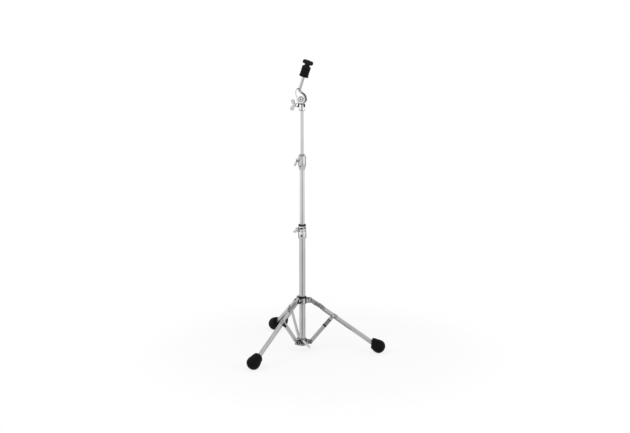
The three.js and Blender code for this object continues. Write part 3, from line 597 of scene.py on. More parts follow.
def tab_outline(root, reach, low, high, corner):
    """Outline of a tab from its root to its reach, with two round corners."""
    x = reach - corner
    return ([(root, low)] + arc(x, low + corner, corner, -90, 0) + arc(x, high - corner, corner, 0, 90)
            + [(root, high)])


def barrel_shape(radius, bottom, top, lower_band, upper_band):
    """Turned barrel, a little narrower between a band at each end."""
    waist = radius - BARREL_WAIST
    outline = [(0, bottom), (radius, bottom), (radius, bottom + lower_band), (waist, bottom + lower_band + 1),
               (waist, top - upper_band - 1), (radius, top - upper_band), (radius, top), (0, top)]
    return soften(spun(outline), 0.7, 3, 25)


def through_bore(radius, bottom, top):
    return rod(radius, bottom - OVERRUN, top + OVERRUN)


def hub_shape():
    """Casting with a barrel and three pairs of cheeks."""
    reach, drop, corner = 9.5, 15.5, 8.0
    outline = tab_outline(HUB_RADIUS - CHEEK_ROOT, HUB_PIN[0] + reach, HUB_PIN[1] - drop, HUB_TOP, corner)
    cheeks = around_legs(lambda: lump(cheek_pair(outline, LEG_WIDTH + 2 * FIT, CHEEK)))
    return carved(barrel_shape(HUB_RADIUS, HUB_BOTTOM, HUB_TOP, 5, 4), [cheeks],
                  [through_bore(TUBE_RADIUS + FIT, HUB_BOTTOM, HUB_TOP)])


def hub_ring_shape():
    inner, outer, height, edge = TUBE_RADIUS + FIT, HUB_RADIUS - 1.0, 6.5, 1.6
    bottom = HUB_TOP + FIT
    top = bottom + height
    outline = [(inner, bottom), (outer, bottom), (outer, top - edge), (outer - edge, top), (inner, top)]
    return soften(spun(outline), 0.5, 3, 25)


BRACE_WIDTH = 19.0
BRACE_THICKNESS = 7.6
BRACE_TOP_RADIUS = 7.6
BRACE_SHOULDER = 16.0


def brace_shape():
    """Strap with a round lower end, shoulders below its narrower top and rolled edges."""
    half = BRACE_WIDTH / 2
    shoulder = BRACE_LENGTH - BRACE_SHOULDER
    points = (arc(0, 0, half, 180, 360) + [(half, shoulder), (BRACE_TOP_RADIUS, BRACE_LENGTH)]
              + arc(0, BRACE_LENGTH, BRACE_TOP_RADIUS, 0, 180)[1:-1]
              + [(-BRACE_TOP_RADIUS, BRACE_LENGTH), (-half, shoulder)])
    return plate(points, BRACE_THICKNESS, 2.3, 4)


BADGE_START = 27.0
BADGE_LENGTH = 37.0
BADGE_WIDTH = 16.6
BADGE_THICKNESS = 0.8
BAND_GROW = 0.55
BADGE_TOP = BRACE_LENGTH - BADGE_START
BADGE_BOTTOM = BADGE_TOP - BADGE_LENGTH
BANDS = {"upper": (BADGE_TOP - 1.6, BADGE_TOP + 0.8), "lower": (BADGE_BOTTOM - 3.0, BADGE_BOTTOM + 4.4)}


def badge_shape():
    low = (-BADGE_WIDTH / 2, -BRACE_THICKNESS / 2 - FIT - BADGE_THICKNESS, BADGE_BOTTOM)
    high = (BADGE_WIDTH / 2, -BRACE_THICKNESS / 2 - FIT, BADGE_TOP)
    return block(low, high, 0.25)


def band_shape(bottom, top):
    """Moulded band that goes round the strap and over an end of the badge."""
    half = BRACE_WIDTH / 2 + BAND_GROW
    side = BRACE_THICKNESS / 2 + FIT + BADGE_THICKNESS + BAND_GROW
    bm = block((-half, -side, bottom), (half, side, top))
    return soften(bevel(bm, upright_edges(bm, 1), 2.6, 4), 0.4, 2, 50)


COLLAR_BOTTOM = COLLAR_PIN[1] - 16.5
COLLAR_TOP = COLLAR_PIN[1] + 16.0
COLLAR_RADIUS = HUB_RADIUS
COLLAR_REACH = COLLAR_RADIUS + 11.0
COLLAR_BOLT = 4.0
COLLAR_BOLT_TURN = radians(300)
COLLAR_WING_TURN = radians(-47)


def collar_shape():
    """Casting on the lower end of the base tube: barrel, three pairs of cheeks with rivet heads, and a boss."""
    root = COLLAR_RADIUS - CHEEK_ROOT
    radius, boss_root, boss_radius = 9.5, 10.2, 9.0
    x, z = COLLAR_PIN
    outline = [(root, z - radius)] + arc(x, z, radius, -90, 90) + [(root, z + radius)]
    gap = BRACE_THICKNESS + 2 * FIT
    head = [(0, gap / 2 + FIT), (HEAD_RADIUS, gap / 2 + FIT)] + dome(gap / 2 + CHEEK)

    def fork():
        studs = [moved(spun(head, SMALL_ROUND), shift(x, 0, z) @ side) for side in BOTH_SIDES]
        return lump(cheek_pair(outline, gap, CHEEK) + studs)

    boss = soften(spun([(0, root), (boss_root, root), (boss_radius, COLLAR_RADIUS + 2),
                        (boss_radius, COLLAR_REACH), (0, COLLAR_REACH)], ROUND), 0.9)
    along = shift(z=z) @ turn(COLLAR_BOLT_TURN) @ ALONG_X
    hole = moved(rod(COLLAR_BOLT + FIT, 0, COLLAR_REACH + OVERRUN, steps=COARSE_ROUND), along)
    return carved(barrel_shape(COLLAR_RADIUS, COLLAR_BOTTOM, COLLAR_TOP, 6, 5),
                  [moved(boss, along), around_legs(fork)],
                  [through_bore(TUBE_RADIUS + FIT, COLLAR_BOTTOM, COLLAR_TOP), hole])


FOOT_LENGTH = 73.0
FOOT_RADIUS = 31.0
MOUTH_INSET = 4.9
MOUTH_TILT = radians(5.7)
# Height up the boot and radius at each step of its outline, as shares
FOOT_OUTLINE = ((0, 0.62), (0.03, 0.70), (0.12, 0.78), (0.28, 0.85), (0.47, 0.965), (0.60, 1.0), (0.73, 0.96),
                (0.84, 0.82), (0.92, 0.62), (0.98, 0.35))


def slice_off(bm, point, outward):
    """Cuts a solid flat, closes it again and gives the edges of the new face."""
    bmesh.ops.bisect_plane(bm, geom=bm.verts[:] + bm.edges[:] + bm.faces[:], plane_co=point, plane_no=outward,
                           clear_outer=True)
    rim = [e for e in bm.edges if e.is_boundary]
    bmesh.ops.contextual_create(bm, geom=rim)
    bmesh.ops.recalc_face_normals(bm, faces=bm.faces)
    return rim


def foot_shape():
    """Rubber boot with a rolled mouth, soft swell and domed end, cut flat where it stands."""
    outline = [(0, 0)] + [(out * FOOT_RADIUS, up * FOOT_LENGTH) for up, out in FOOT_OUTLINE] + [(0, FOOT_LENGTH)]
    boot = soften(spun(outline), 2.2, 4, 7)
    moved(boot, shift(LEG_REACH, 0, FOOT_HEIGHT) @ turn(QUARTER + FOOT_SLOPE, "Y"))
    slice_off(boot, (0, 0, 0), (0, 0, -1))
    lip = slice_off(boot, (LEG_REACH + MOUTH_INSET, 0, FOOT_HEIGHT),
                    (-cos(MOUTH_TILT), 0, sin(MOUTH_TILT)))
    bevel(boot, lip, 2.4, 4)
    socket = swept_section(channel(LEG_WIDTH / 2 + FIT, 0, -LEG_HEIGHT / 2 - FIT),
                           [LEG_TO_FOOT - FOOT_RADIUS, LEG_RUN + FIT])
    return carved(boot, [], [socket])


# ---- wing nuts ----

EAR_CENTRE = (16.6, 17.0)
EAR_RADIUS = 9.2
EAR_THICKNESS = 10.0
# Heights between the ears: top and bottom of the web
WEB = (13.5, 5.0)
WING_TOP = 14.0
WING_HUB = ((0, 0), (6.2, 0), (7, 2.2), (7, 12.2), (5.6, WING_TOP), (0, WING_TOP))


def wing_shape(bore=0.0, shank=0.0, shank_length=0.0):
    """Wing nut along +Y from its seat, its two ears along X; a bolt instead where it has a shank."""
    right = arc(*EAR_CENTRE, EAR_RADIUS, -90, 126, 24)
    left = [(-x, y) for x, y in reversed(right)]
    ears = plate(right + [(0, WEB[0])] + left + [(0, WEB[1])], EAR_THICKNESS, 3.2, 4)
    joins = [moved(ears, ALONG_Y)]
    cuts = []
    if bore:
        cuts.append(moved(rod(bore, -OVERRUN, WING_TOP + OVERRUN, steps=SMALL_ROUND), ALONG_Y))
    if shank:
        joins.append(moved(rod(shank, -shank_length, OVERRUN, 0.5, SMALL_ROUND), ALONG_Y))
    return carved(moved(soften(spun(WING_HUB, ROUND), 0.6, 3, 20), ALONG_Y), joins, cuts)


STOP_PADS = (((-4, -6), (-26, -6), (-20, -12), (-7, -22)), ((4, -6), (20, -6), (14, -26), (4, -30)))


def stop_pads_shape():
    """Two nylon gussets under the rim of the leg, on one side of the brace."""
    thickness, beyond_leg = 4.0, 2.4
    place = leg_station(PIN_DISTANCE) @ turn(QUARTER) @ shift(y=LEG_WIDTH / 2 + beyond_leg)
    return lump([moved(plate(points, thickness, 0.6, 3), place) for points in STOP_PADS])


def tripod():
    """Everything below the base clamp."""
    dress("leg_hub", hub_shape(), COLUMN, "cast_chrome", "hub")
    dress("hub_ring", hub_ring_shape(), COLUMN, "black_nylon", "hub")
    dress("lower_collar", collar_shape(), COLUMN, "cast_chrome", "stand_base")
    seat = COLLAR_REACH + FIT
    wing_place = COLUMN @ shift(z=COLLAR_PIN[1]) @ turn(COLLAR_BOLT_TURN - QUARTER) @ shift(y=seat)
    bolt = wing_shape(shank=COLLAR_BOLT, shank_length=seat - TUBE_RADIUS - FIT)
    dress("collar_wing_bolt", bolt, wing_place @ turn(COLLAR_WING_TURN, "Y"), "wing_chrome", "collar_wing")
    hub_width = LEG_WIDTH + 2 * FIT + 2 * CHEEK
    bracket_width = LEG_WIDTH + 2 * FIT + 2 * BRACKET_WALL
    collar_width = BRACE_THICKNESS + 2 * FIT + 2 * CHEEK
    for i, place in enumerate(LEG_FRAMES):
        n = i + 1
        leg_body = f"leg_{n}_body"
        hub_pin, leg_pin, collar_pin = [place @ shift(x, 0, z) for x, z in (HUB_PIN, BRACE_PIN, COLLAR_PIN)]
        dress(f"leg_{n}", leg_shape(), place, "leg_chrome", leg_body)
        dress(f"leg_bracket_{n}", bracket_shape(), place, "bracket_steel", leg_body)
        dress(f"leg_hinge_pin_{n}", rivet_shape(hub_width), hub_pin, "chrome", "hub")
        dress(f"brace_leg_pin_{n}", rivet_shape(bracket_width), leg_pin, "chrome", leg_body)
        dress(f"foot_{n}", foot_shape(), place, "black_rubber", leg_body)
        dress(f"brace_{n}", brace_shape(), brace_frame(i), "chrome", f"brace_{n}_body")
        if n > 1:
            add(f"stop_pads_{n}", stop_pads_shape(), place, "black_nylon", leg_body)
        add(f"hub_washer_{n}", washer_pair(hub_width, HUB_WASHER), hub_pin, "black_nylon", "hub")
        add(f"collar_washer_{n}", washer_pair(collar_width, COLLAR_WASHER), collar_pin, "black_nylon", "stand_base")
        add(f"collar_pin_caps_{n}", cap_pair(collar_width), collar_pin, "chrome", "stand_base")
    dress("brace_badge", badge_shape(), brace_frame(0), "badge", "brace_1_body")
    for end, (low, high) in BANDS.items():
        add(f"badge_band_{end}", band_shape(low, high), brace_frame(0), "black_nylon", "brace_1_body")


# ---- column ----

# Each clamp's lugs: how far they go beyond the bolt, half their height and their corner
# Each casting's outline: height up the barrel and radius, as shares
BASE_CLAMP = {
    "bottom": BASE_CLAMP_BOTTOM, "height": 61.0, "grip": 37.3, "bolt_drop": 16.6, "bolt_wall": 4.1, "wall": 4.4,
    "tube": TUBE_RADIUS, "inner": MIDDLE_RADIUS, "lug_half": 11.4, "turn": radians(199.6),
    "wing": radians(-6), "lug": (6.0, 6.5, 4.0), "flange_step": 3.2, "flange_height": 6.2,
    "outline": ((0, 0.8), (0.05, 0.92), (0.12, 1), (0.44, 1), (0.52, 0.97), (0.58, 0.93), (0.65, 0.97),
                (0.92, 0.97), (1, 0.86)),
}
MID_CLAMP = {
    "bottom": MID_CLAMP_BOTTOM, "height": 68.0, "grip": 34.0, "bolt_drop": 24.0, "bolt_wall": 7.3, "wall": 6.4,
    "tube": MIDDLE_RADIUS, "inner": TOP_RADIUS, "lug_half": 10.2, "turn": radians(189),
    "wing": radians(-58), "lug": (5.0, 6.5, 4.0), "flange_step": 1.3, "flange_height": 1.6,
    "outline": ((0, 0.73), (0.12, 0.84), (0.3, 0.96), (0.45, 1), (0.82, 1), (0.93, 0.93), (1, 0.76)),
}
CLAMP_BOLT = 3.0
FRONT = radians(-82.4)


def clamp_places(clamp):
    """Radius of the bore and of the casting, and where the bolt is."""
    bore = clamp["tube"] + FIT
    bolt_x = bore + clamp["bolt_wall"] + CLAMP_BOLT + FIT
    return bore, bore + clamp["wall"], bolt_x, clamp["height"] - clamp["bolt_drop"]


def casting_shape(clamp):
    """Tube clamp: a swelling barrel with two lugs, slit from the bolt up, and two flutes beside its front."""
    bore, radius, bolt_x, bolt_z = clamp_places(clamp)
    height = clamp["height"]
    outline = [(0, 0)] + [(out * radius, up * height) for up, out in clamp["outline"]] + [(0, height)]
    barrel = soften(spun(outline), 1.3, 4, 7)
    beyond_bolt, half, corner = clamp["lug"]
    reach = bolt_x + beyond_bolt
    points = tab_outline(bore + clamp["wall"] / 2, reach, bolt_z - half, bolt_z + half, corner)
    lugs = plate(points, 2 * clamp["lug_half"], 1.4, 4)
    slit_half, slit_drop = 1.2, 16.0
    slit = block((0, -slit_half, bolt_z - slit_drop), (reach + OVERRUN, slit_half, height + OVERRUN))
    depth, width, aside, end = 2.2, 4.0, radians(66), 0.06
    flutes = [moved(block((radius - depth, -width / 2, height * end), (reach, width / 2, height * (1 - end))),
                    turn(FRONT - clamp["turn"] + side * aside)) for side in (1, -1)]
    return carved(barrel, [lugs], [through_bore(bore, 0, height), slit] + flutes)


def bush_shape(clamp):
    """Lining between two tubes with a ring on top of the casting."""
    inner = clamp["inner"] + FIT
    bottom = clamp["grip"] + FIT
    top = clamp["height"] + FIT
    flange = clamp["tube"] + clamp["flange_step"]
    end = top + clamp["flange_height"]
    return soften(spun(stepped(bottom, (clamp["tube"], top), (flange, end), inner=inner)), 0.6, 3)


def clamp_bolt_shape(clamp):
    """Hexagon-headed bolt along Y, with turned thread ridges at its tail."""
    radius, head_radius, head_height, shank_in_head = CLAMP_BOLT, 7.2, 5.5, 2.7
    pitch, depth, ridges = 0.8, 0.35, 12
    head = clamp["lug_half"] + FIT
    tail = clamp["lug_half"] + 16.0
    steps = range(2 * ridges)
    thread = [(radius - (depth if i % 2 else 0.0), tail - 0.6 - (len(steps) - i) * pitch / 2) for i in steps]
    start = -head - shank_in_head
    shank = spun([(0, start), (radius, start), *thread, (radius - 0.5, tail - 0.3), (radius - 1, tail), (0, tail)],
                 SMALL_ROUND)
    return moved(carved(shank, [hexagon(head_radius, -head - head_height, -head, 0.6)]), ALONG_Y)


# Patches of painted shade on the castings: radius of the wall, degrees from the front, width, lower and upper edge
BASE_PAINTED_SHADE = ((19.0, -10, 12, 577, 584), (19.0, 32, 5, 579, 588), (19.0, -13, 7, 543, 551))
MID_PAINTED_SHADE = ((16.3, 0, 8, 909.5, 914), (17.0, -30, 6, 864, 869))


def painted_shade_patch_shape(radius, aside, width, low, high):
    """A thin black patch that follows the wall of a casting and paints shade on it, in the column's frame."""
    proud, depth = 0.35, 1.2
    shell = pipe(radius + proud, radius - depth, low, high, 0.15)
    far = 2 * radius
    half = width / 2
    sides = [block((-far, -far, low - 1), (0, far, high + 1)), block((0, half, low - 1), (far, far, high + 1)),
             block((0, -far, low - 1), (far, -half, high + 1))]
    return moved(carved(shell, [], sides), turn(FRONT + radians(aside)))


def clamp_set(prefix, clamp, body, bush_body, wing_body):
    place = COLUMN @ shift(z=clamp["bottom"]) @ turn(clamp["turn"])
    _, _, bolt_x, bolt_z = clamp_places(clamp)
    dress(prefix, casting_shape(clamp), place, "clamp_chrome", body)
    dress(f"{prefix}_bush", bush_shape(clamp), place, "black_nylon", bush_body)
    bolt_place = place @ shift(bolt_x, 0, bolt_z)
    dress(f"{prefix}_bolt", clamp_bolt_shape(clamp), bolt_place, "chrome", body)
    wing_place = bolt_place @ shift(y=clamp["lug_half"] + FIT) @ turn(-clamp["wing"], "Y")
    dress(f"{prefix}_wing_nut", wing_shape(bore=CLAMP_BOLT + FIT), wing_place, "wing_chrome", wing_body)


# Node, radius, wall and body of each tube
TUBES = (("base_tube", TUBE_RADIUS, 1.5, "stand_base"), ("middle_tube", MIDDLE_RADIUS, 1.2, "middle"),
         ("top_tube", TOP_RADIUS, 1.2, "top"))


def column():
    """The three tubes, the plug and both clamps."""
    for node, radius, wall, body in TUBES:
        low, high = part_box(node)
        tube = pipe(radius, radius - wall, low.z / MILLIMETRE, high.z / MILLIMETRE)
        dress(node, tube, COLUMN, "chrome", body)
    bottom = tube_low.z / MILLIMETRE - FIT
    base, radius, height = 3.5, 12.5, 14.0
    plug = spun(stepped(bottom - base, (TUBE_RADIUS, bottom), (radius, bottom + height)), ROUND)
    dress("tube_end_plug", soften(plug, 0.6), COLUMN, "black_rubber", "stand_base")
    clamp_set("base_clamp", BASE_CLAMP, "stand_base", "base_bush", "base_clamp_wing")
    clamp_set("mid_clamp", MID_CLAMP, "middle", "mid_bush", "mid_clamp_wing")
    # Painted shade: black patches on each clamp casting
    for prefix, painted_shade_patches, body in (("base_clamp", BASE_PAINTED_SHADE, "stand_base"), ("mid_clamp", MID_PAINTED_SHADE, "middle")):
        add(f"{prefix}_inlays", lump([painted_shade_patch_shape(*values) for values in painted_shade_patches]), COLUMN, "black_nylon", body)


# ---- tilter ----

CHEEK_RADIUS = 20.5
CHEEK_HALF = 13.8
KNUCKLE_HALF = 6.7
STEM_DROP = 52.5
STEM_RADIUS = 14.0
STEM_TOP = -CHEEK_RADIUS - 1.2
SOCKET_DEPTH = 24.3
NECK_HALF = 12.5
LUG_REACH = 27.5
LUG_DROP = 28.0
LUG_HALF = 9.5
# The point of the teardrop, in shares of the radius
NOSE = ((0.57, 0.91), (0.11, 1.2), (-0.57, 1.4), (-0.94, 1.6), (-1.28, 1.98), (-1.44, 2.06), (-1.58, 1.95),
        (-1.72, 1.62), (-1.74, 1.25), (-1.6, 0.7), (-1.22, 0.16))
CHEEK_ARC = 201.6
CHEEK_STEPS = 48

ROD_RADIUS = 6.8
THREAD_RADIUS = 4.0
ROD_BOTTOM = 16.0
ROD_SHOULDER = 97.5
ROD_TOP = 166.5


def tilter_base_shape():
    """Stem with a knuckle above and a clamp lug on one side; a slit opens its front."""
    stem = soften(rod(STEM_RADIUS, -STEM_DROP, STEM_TOP), 1.7, 4)
    knuckle = moved(rod(CHEEK_RADIUS - 0.9, -KNUCKLE_HALF, KNUCKLE_HALF, 0.7), ALONG_Y)
    neck = block((-NECK_HALF, -KNUCKLE_HALF, STEM_TOP - 3.5), (NECK_HALF, KNUCKLE_HALF, 0), 0.7)
    lug = block((-LUG_REACH, -KNUCKLE_HALF, -LUG_DROP - LUG_HALF), (0, KNUCKLE_HALF, -LUG_DROP + LUG_HALF), 2.2)
    socket = rod(TOP_RADIUS + FIT, -STEM_DROP - OVERRUN, -STEM_DROP + SOCKET_DEPTH)
    left, right, depth = 2.8, 3.6, 1.6
    slit = block((left, -STEM_RADIUS - 1, -STEM_DROP + 3), (right, -STEM_RADIUS + depth, STEM_TOP - 2))
    return carved(stem, [knuckle, neck, lug], [socket, slit])


def stem_painted_shade_shape():
    """Black nylon on the neck: a band round the lug and a shell on the side across from it paint shade; a seam
    below.
    """
    low, high, seam_low, seam_high = -36.0, -22.0, -47.6, -45.8
    inner = STEM_RADIUS - 1.5
    side = KNUCKLE_HALF + 0.5
    far = 30
    band = moved(block((-4, -side, -8), (4, side, 8), 0.4), shift(-14, 0, (low + high) / 2) @ turn(radians(16), "Y"))
    shell = pipe(STEM_RADIUS + 0.4, inner, low, high, 0.2)
    shell = carved(shell, [], [block((-far, -far, low - 1), (10.6, far, high + 1))])
    seam = pipe(STEM_RADIUS + 0.3, inner, seam_low, seam_high, 0.2)
    seam = carved(seam, [], [block((-far, -far, -50), (-10.5, far, -40)), block((-2.5, -far, -50), (far, far, -40)),
                             block((-far, 0, -50), (far, far, -40))])
    return lump([band, shell, seam])


def cheek_outline():
    """A disc that runs out into the point of the teardrop."""
    start = degrees(atan2(NOSE[-1][1], NOSE[-1][0]))
    disc = arc(0, 0, CHEEK_RADIUS, start, start + CHEEK_ARC, CHEEK_STEPS)
    return disc[1:] + [(x * CHEEK_RADIUS, z * CHEEK_RADIUS) for x, z in NOSE]


RING_FACE = CHEEK_HALF + 1.1
# Radius and height of the raised ring on a cheek, with a groove round it
RING = ((0, CHEEK_HALF - 3), (13, CHEEK_HALF - 3), (13, RING_FACE), (10.6, RING_FACE), (9.9, RING_FACE - 0.9),
        (8.6, RING_FACE - 0.9), (7.9, RING_FACE), (0, RING_FACE))


def tilter_arm_shape():
    """Forked arm: two teardrop cheeks with a raised ring, and the web that holds the rod."""
    wall = CHEEK_HALF - KNUCKLE_HALF - FIT
    cheeks = cheek_pair(cheek_outline(), 2 * (KNUCKLE_HALF + FIT), wall, 1.1)
    rings = [moved(soften(spun(RING), 0.25, 2), side) for side in BOTH_SIDES]
    far = 3 * CHEEK_RADIUS
    past = CHEEK_RADIUS / 2
    web = carved(plate(cheek_outline(), 2 * CHEEK_HALF - wall), [],
                 [moved(rod(CHEEK_RADIUS + FIT, -far, far), ALONG_Y),
                  block((-past, -far, -far), (far, far, far)), block((-far, -far, -far), (0, far, past))])
    hole = moved(rod(ROD_RADIUS + FIT, ROD_BOTTOM - FIT, ROD_SHOULDER, steps=MEDIUM_ROUND), shift(-ROD_OFFSET))
    return carved(cheeks[0], [cheeks[1], web] + rings, [hole])


PIVOT_RADIUS = 4.0
PIVOT_HEAD = 2.6
PIVOT_HEAD_RADIUS = 7.0
PIVOT_FACE = RING_FACE + FIT
HEXAGON_SOCKET = 3.4


def pivot_bolt_shape():
    """Pivot bolt along Y; its head at the front has a hexagon socket."""
    end = PIVOT_FACE + PIVOT_HEAD
    bolt = spun(stepped(-end, (PIVOT_HEAD_RADIUS, -PIVOT_FACE), (PIVOT_RADIUS, end)), MEDIUM_ROUND)
    socket = hexagon(HEXAGON_SOCKET, -end - OVERRUN, -PIVOT_FACE + 7)
    return moved(carved(soften(bolt, 0.5), [], [socket]), ALONG_Y)


def pivot_nut_shape():
    hole = rod(PIVOT_RADIUS + FIT, PIVOT_FACE - OVERRUN, PIVOT_FACE + 6, steps=SMALL_ROUND)
    nut = hexagon(PIVOT_HEAD_RADIUS, PIVOT_FACE, PIVOT_FACE + PIVOT_HEAD, 0.45)
    return moved(carved(nut, [], [hole]), ALONG_Y)


STACK_BORE = 4.3
SEAT_BOTTOM = ROD_SHOULDER + FIT
SEAT_HEIGHT = 3.6
SEAT_RADIUS = 21.5
LOWER_FELT = SEAT_BOTTOM + SEAT_HEIGHT + FIT
LOWER_FELT_HEIGHT = 18.8
UPPER_FELT = LOWER_FELT + LOWER_FELT_HEIGHT + FIT
UPPER_FELT_HEIGHT = 18.9
WASHER = UPPER_FELT + UPPER_FELT_HEIGHT + FIT
WASHER_HEIGHT = 7.4
NUT = WASHER + WASHER_HEIGHT + FIT


def rod_shape():
    outline = stepped(ROD_BOTTOM, (ROD_RADIUS, ROD_SHOULDER), (THREAD_RADIUS, ROD_TOP))
    return soften(spun(outline, MEDIUM_ROUND), 0.7)


def felt_shape(bottom, height, seed):
    """Felt washer with pressed, slightly uneven sides."""
    radius, bore, wander, fineness, level = 20.0, STACK_BORE + 1.8 + FIT, 0.5, 0.16, 0.4
    top = bottom + height
    bm = soften(spun([(bore, bottom), (radius, bottom), (radius, bottom + height / 2), (radius, top), (bore, top)]),
                2.4, 4)
    bmesh.ops.subdivide_edges(bm, edges=upright_edges(bm, 4), cuts=4, use_grid_fill=True)
    for vert in bm.verts:
        out = Vector((vert.co.x, vert.co.y, 0))
        if out.length > bore + 1:
            spread = noise.noise(vert.co * fineness + Vector((seed, 0, 0))) - level
            vert.co += out.normalized() * spread * wander
    return bm


def washer_shape():
    radius, top_radius = 20.4, 14.7
    top = WASHER + WASHER_HEIGHT
    middle = WASHER + WASHER_HEIGHT / 2
    outline = [(STACK_BORE, WASHER), (radius, WASHER), (radius, middle), (top_radius, top), (STACK_BORE, top)]
    return soften(spun(outline), 0.9, 4, 20)


def nut_shape():
    """T-shaped hand nut: a round neck under a wide grip with a crowned top."""
    half, height, thickness, rise = 23.6, 16.7, 13.0, 1.8
    shoulder = NUT + 7.5
    edge = shoulder + height
    crown = [(x * half, edge + rise * (1 - x * x)) for x in (0.87, 0.6, 0.3, 0, -0.3, -0.6, -0.87)]
    points = [(3 - half, shoulder), (half - 3, shoulder), (half, shoulder + 3), (half, edge - 2.6), *crown,
              (-half, edge - 2.6), (-half, shoulder + 3)]
    neck = [(0, NUT), (12, NUT), (12, shoulder - 2), (10.6, shoulder + 3), (0, shoulder + 3)]
    return carved(plate(points, thickness, 2.0, 4), [soften(spun(neck, ROUND), 0.8, 3, 20)],
                  [rod(STACK_BORE, NUT - OVERRUN, ROD_TOP + FIT, steps=SMALL_ROUND)])


TILTER_BOLT = 3.0
TILTER_WING_TURN = radians(110)


def tilter():
    """The tilter on the top tube and everything on the cymbal rod."""
    dress("tilter_base", tilter_base_shape(), TILTER, "tilter_chrome", "top")
    # Painted shade: a black sleeve round the knuckle, where the cheeks leave it in shade
    shade_sleeve = pipe(CHEEK_RADIUS - 0.6, CHEEK_RADIUS - 3, -KNUCKLE_HALF, KNUCKLE_HALF, 0.2)
    add("knuckle_painted_shade", moved(shade_sleeve, ALONG_Y), TILTER, "black_nylon", "top")
    # Painted shade: black pieces where the recesses beside the neck are in shade
    add("stem_painted_shade", stem_painted_shade_shape(), TILTER, "black_nylon", "top")
    wing_place = TILTER @ shift(z=-LUG_DROP) @ turn(QUARTER) @ shift(y=LUG_REACH + FIT)
    bolt = wing_shape(shank=TILTER_BOLT, shank_length=LUG_REACH - 12.0)
    dress("tilter_wing_bolt", bolt, wing_place @ turn(TILTER_WING_TURN, "Y"), "wing_chrome", "tilter_wing")
    dress("tilter_arm", tilter_arm_shape(), ARM, "tilter_chrome", "arm")
    dress("tilter_pivot_bolt", pivot_bolt_shape(), ARM, "chrome", "arm")
    # Painted shade: a black disc in the hexagon socket, where its inside is in shade
    face = CHEEK_HALF + FIT + 2.9
    socket_shade = rod(2.9, face - 2, face, 0.3, COARSE_ROUND)
    add("pivot_socket_painted_shade", moved(socket_shade, ALONG_MINUS_Y), ARM, "black_nylon", "arm")
    dress("tilter_pivot_nut", pivot_nut_shape(), ARM, "chrome", "arm")
    dress("cymbal_rod", rod_shape(), STACK, "chrome", "arm")
    seat = pipe(SEAT_RADIUS, STACK_BORE, SEAT_BOTTOM, SEAT_BOTTOM + SEAT_HEIGHT, 0.8)
    dress("cymbal_seat", seat, STACK, "black_nylon", "arm")
    dress("lower_felt", felt_shape(LOWER_FELT, LOWER_FELT_HEIGHT, 3), STACK, "black_felt", "arm")
    dress("upper_felt", felt_shape(UPPER_FELT, UPPER_FELT_HEIGHT, 8), STACK, "black_felt", "topper")
    dress("topper_washer", washer_shape(), STACK, "black_nylon", "topper")
    dress("topper_nut", nut_shape(), STACK, "black_nylon", "topper_hand_nut")


def hidden_nodes():
    """The CAD nodes that stay as they are get a finish too."""
    kept = ["cymbal_sleeve"]
    kept += [f"{name}_{i + 1}" for i in range(3) for name in ("brace_bush", "brace_collar_pin")]
    for name in kept:
        obj = frame["nodes"][name]
        finish = FINISHES["chrome" if "pin" in name else "black_nylon"]
        obj.data.materials.clear()
        obj.data.materials.append(finish)


# ---- studio ----

CAMERA_TURN = radians(7.62)
CAMERA_DISTANCE = 5.4
CAMERA_HEIGHT = 1.732
CAMERA_PITCH = radians(11.5)
CAMERA_YAW = radians(0.62)
LENS_PIXELS = 1209.1
FRAME_WIDTH = 630
SENSOR_WIDTH = 36


def camera():
    data = bpy.data.cameras.new("camera")
    data.sensor_fit = "HORIZONTAL"
    data.sensor_width = SENSOR_WIDTH
    data.lens = LENS_PIXELS / FRAME_WIDTH * SENSOR_WIDTH
    obj = in_scene("camera", data)
    x = COLUMN_X * MILLIMETRE + CAMERA_DISTANCE * sin(CAMERA_TURN)
    obj.location = (x, -CAMERA_DISTANCE * cos(CAMERA_TURN), CAMERA_HEIGHT)
    obj.rotation_euler = (QUARTER - CAMERA_PITCH, 0, CAMERA_TURN - CAMERA_YAW)
    bpy.context.scene.camera = obj


# Place, size and power of each soft lamp
LAMPS = {"key": ((-2.6, -2.4, 3.2), (1.6, 1.6), 45), "fill": ((2.8, -1.6, 2.2), (1.4, 1.8), 25)}
LAMP_TARGET = Vector((0, 0, 0.6))


def lamp(name, place, size, power):
    data = bpy.data.lights.new(name, "AREA")
    data.shape = "RECTANGLE"
    data.size, data.size_y = size
    data.energy = power
    obj = in_scene(name, data)
    obj.visible_glossy = False
    obj.location = place
    obj.rotation_euler = (LAMP_TARGET - Vector(place)).to_track_quat("-Z", "Y").to_euler()


# Brightness of the studio walls in polished metal, by the turn from the photograph's view to the right
WALL_TONES = ((-180, 0.9), (-140, 0.95), (-108, 1.18), (-85, 1.05), (-58, 1.05), (-38, 1.12), (-22, 0.95),
              (-9, 0.62), (2, 0.42), (12, 0.48), (26, 0.88), (45, 1.1), (62, 1.2), (85, 1.0), (110, 0.9),
              (140, 0.78), (180, 0.9))
# The same by the height of what is reflected, in degrees over the horizon
HEIGHT_TONES = ((-90, 0.8), (-40, 0.75), (-18, 0.7), (-13.5, 0.74), (-10, 0.98), (-7, 1.06), (0, 1.08), (14, 0.9),
                (35, 0.74), (90, 0.72))
# The wall tones hold round a level below the horizon and fade over a span on both sides to one tone
WALL_LEVEL = radians(-8)
WALL_FADE = (radians(8), radians(18))
AWAY_TONE = 0.95
# Strength of the even light on all that is neither seen directly nor polished
EVEN_LIGHT = 0.72


def tone_ramp(tree, tones, angle):
    """Gives each angle its grey; the angle comes in radians."""
    low, high = tones[0][0], tones[-1][0]
    ramp = new_node(tree, "ValToRGB", {"Fac": span_node(tree, angle, (radians(low), radians(high)))})
    ramp.color_ramp.interpolation = "EASE"
    stops = ramp.color_ramp.elements
    while len(stops) < len(tones):
        stops.new(0.5)
    for stop, (degree, tone) in zip(stops, tones):
        stop.position = (degree - low) / (high - low)
        stop.color = grey(tone)
    return ramp


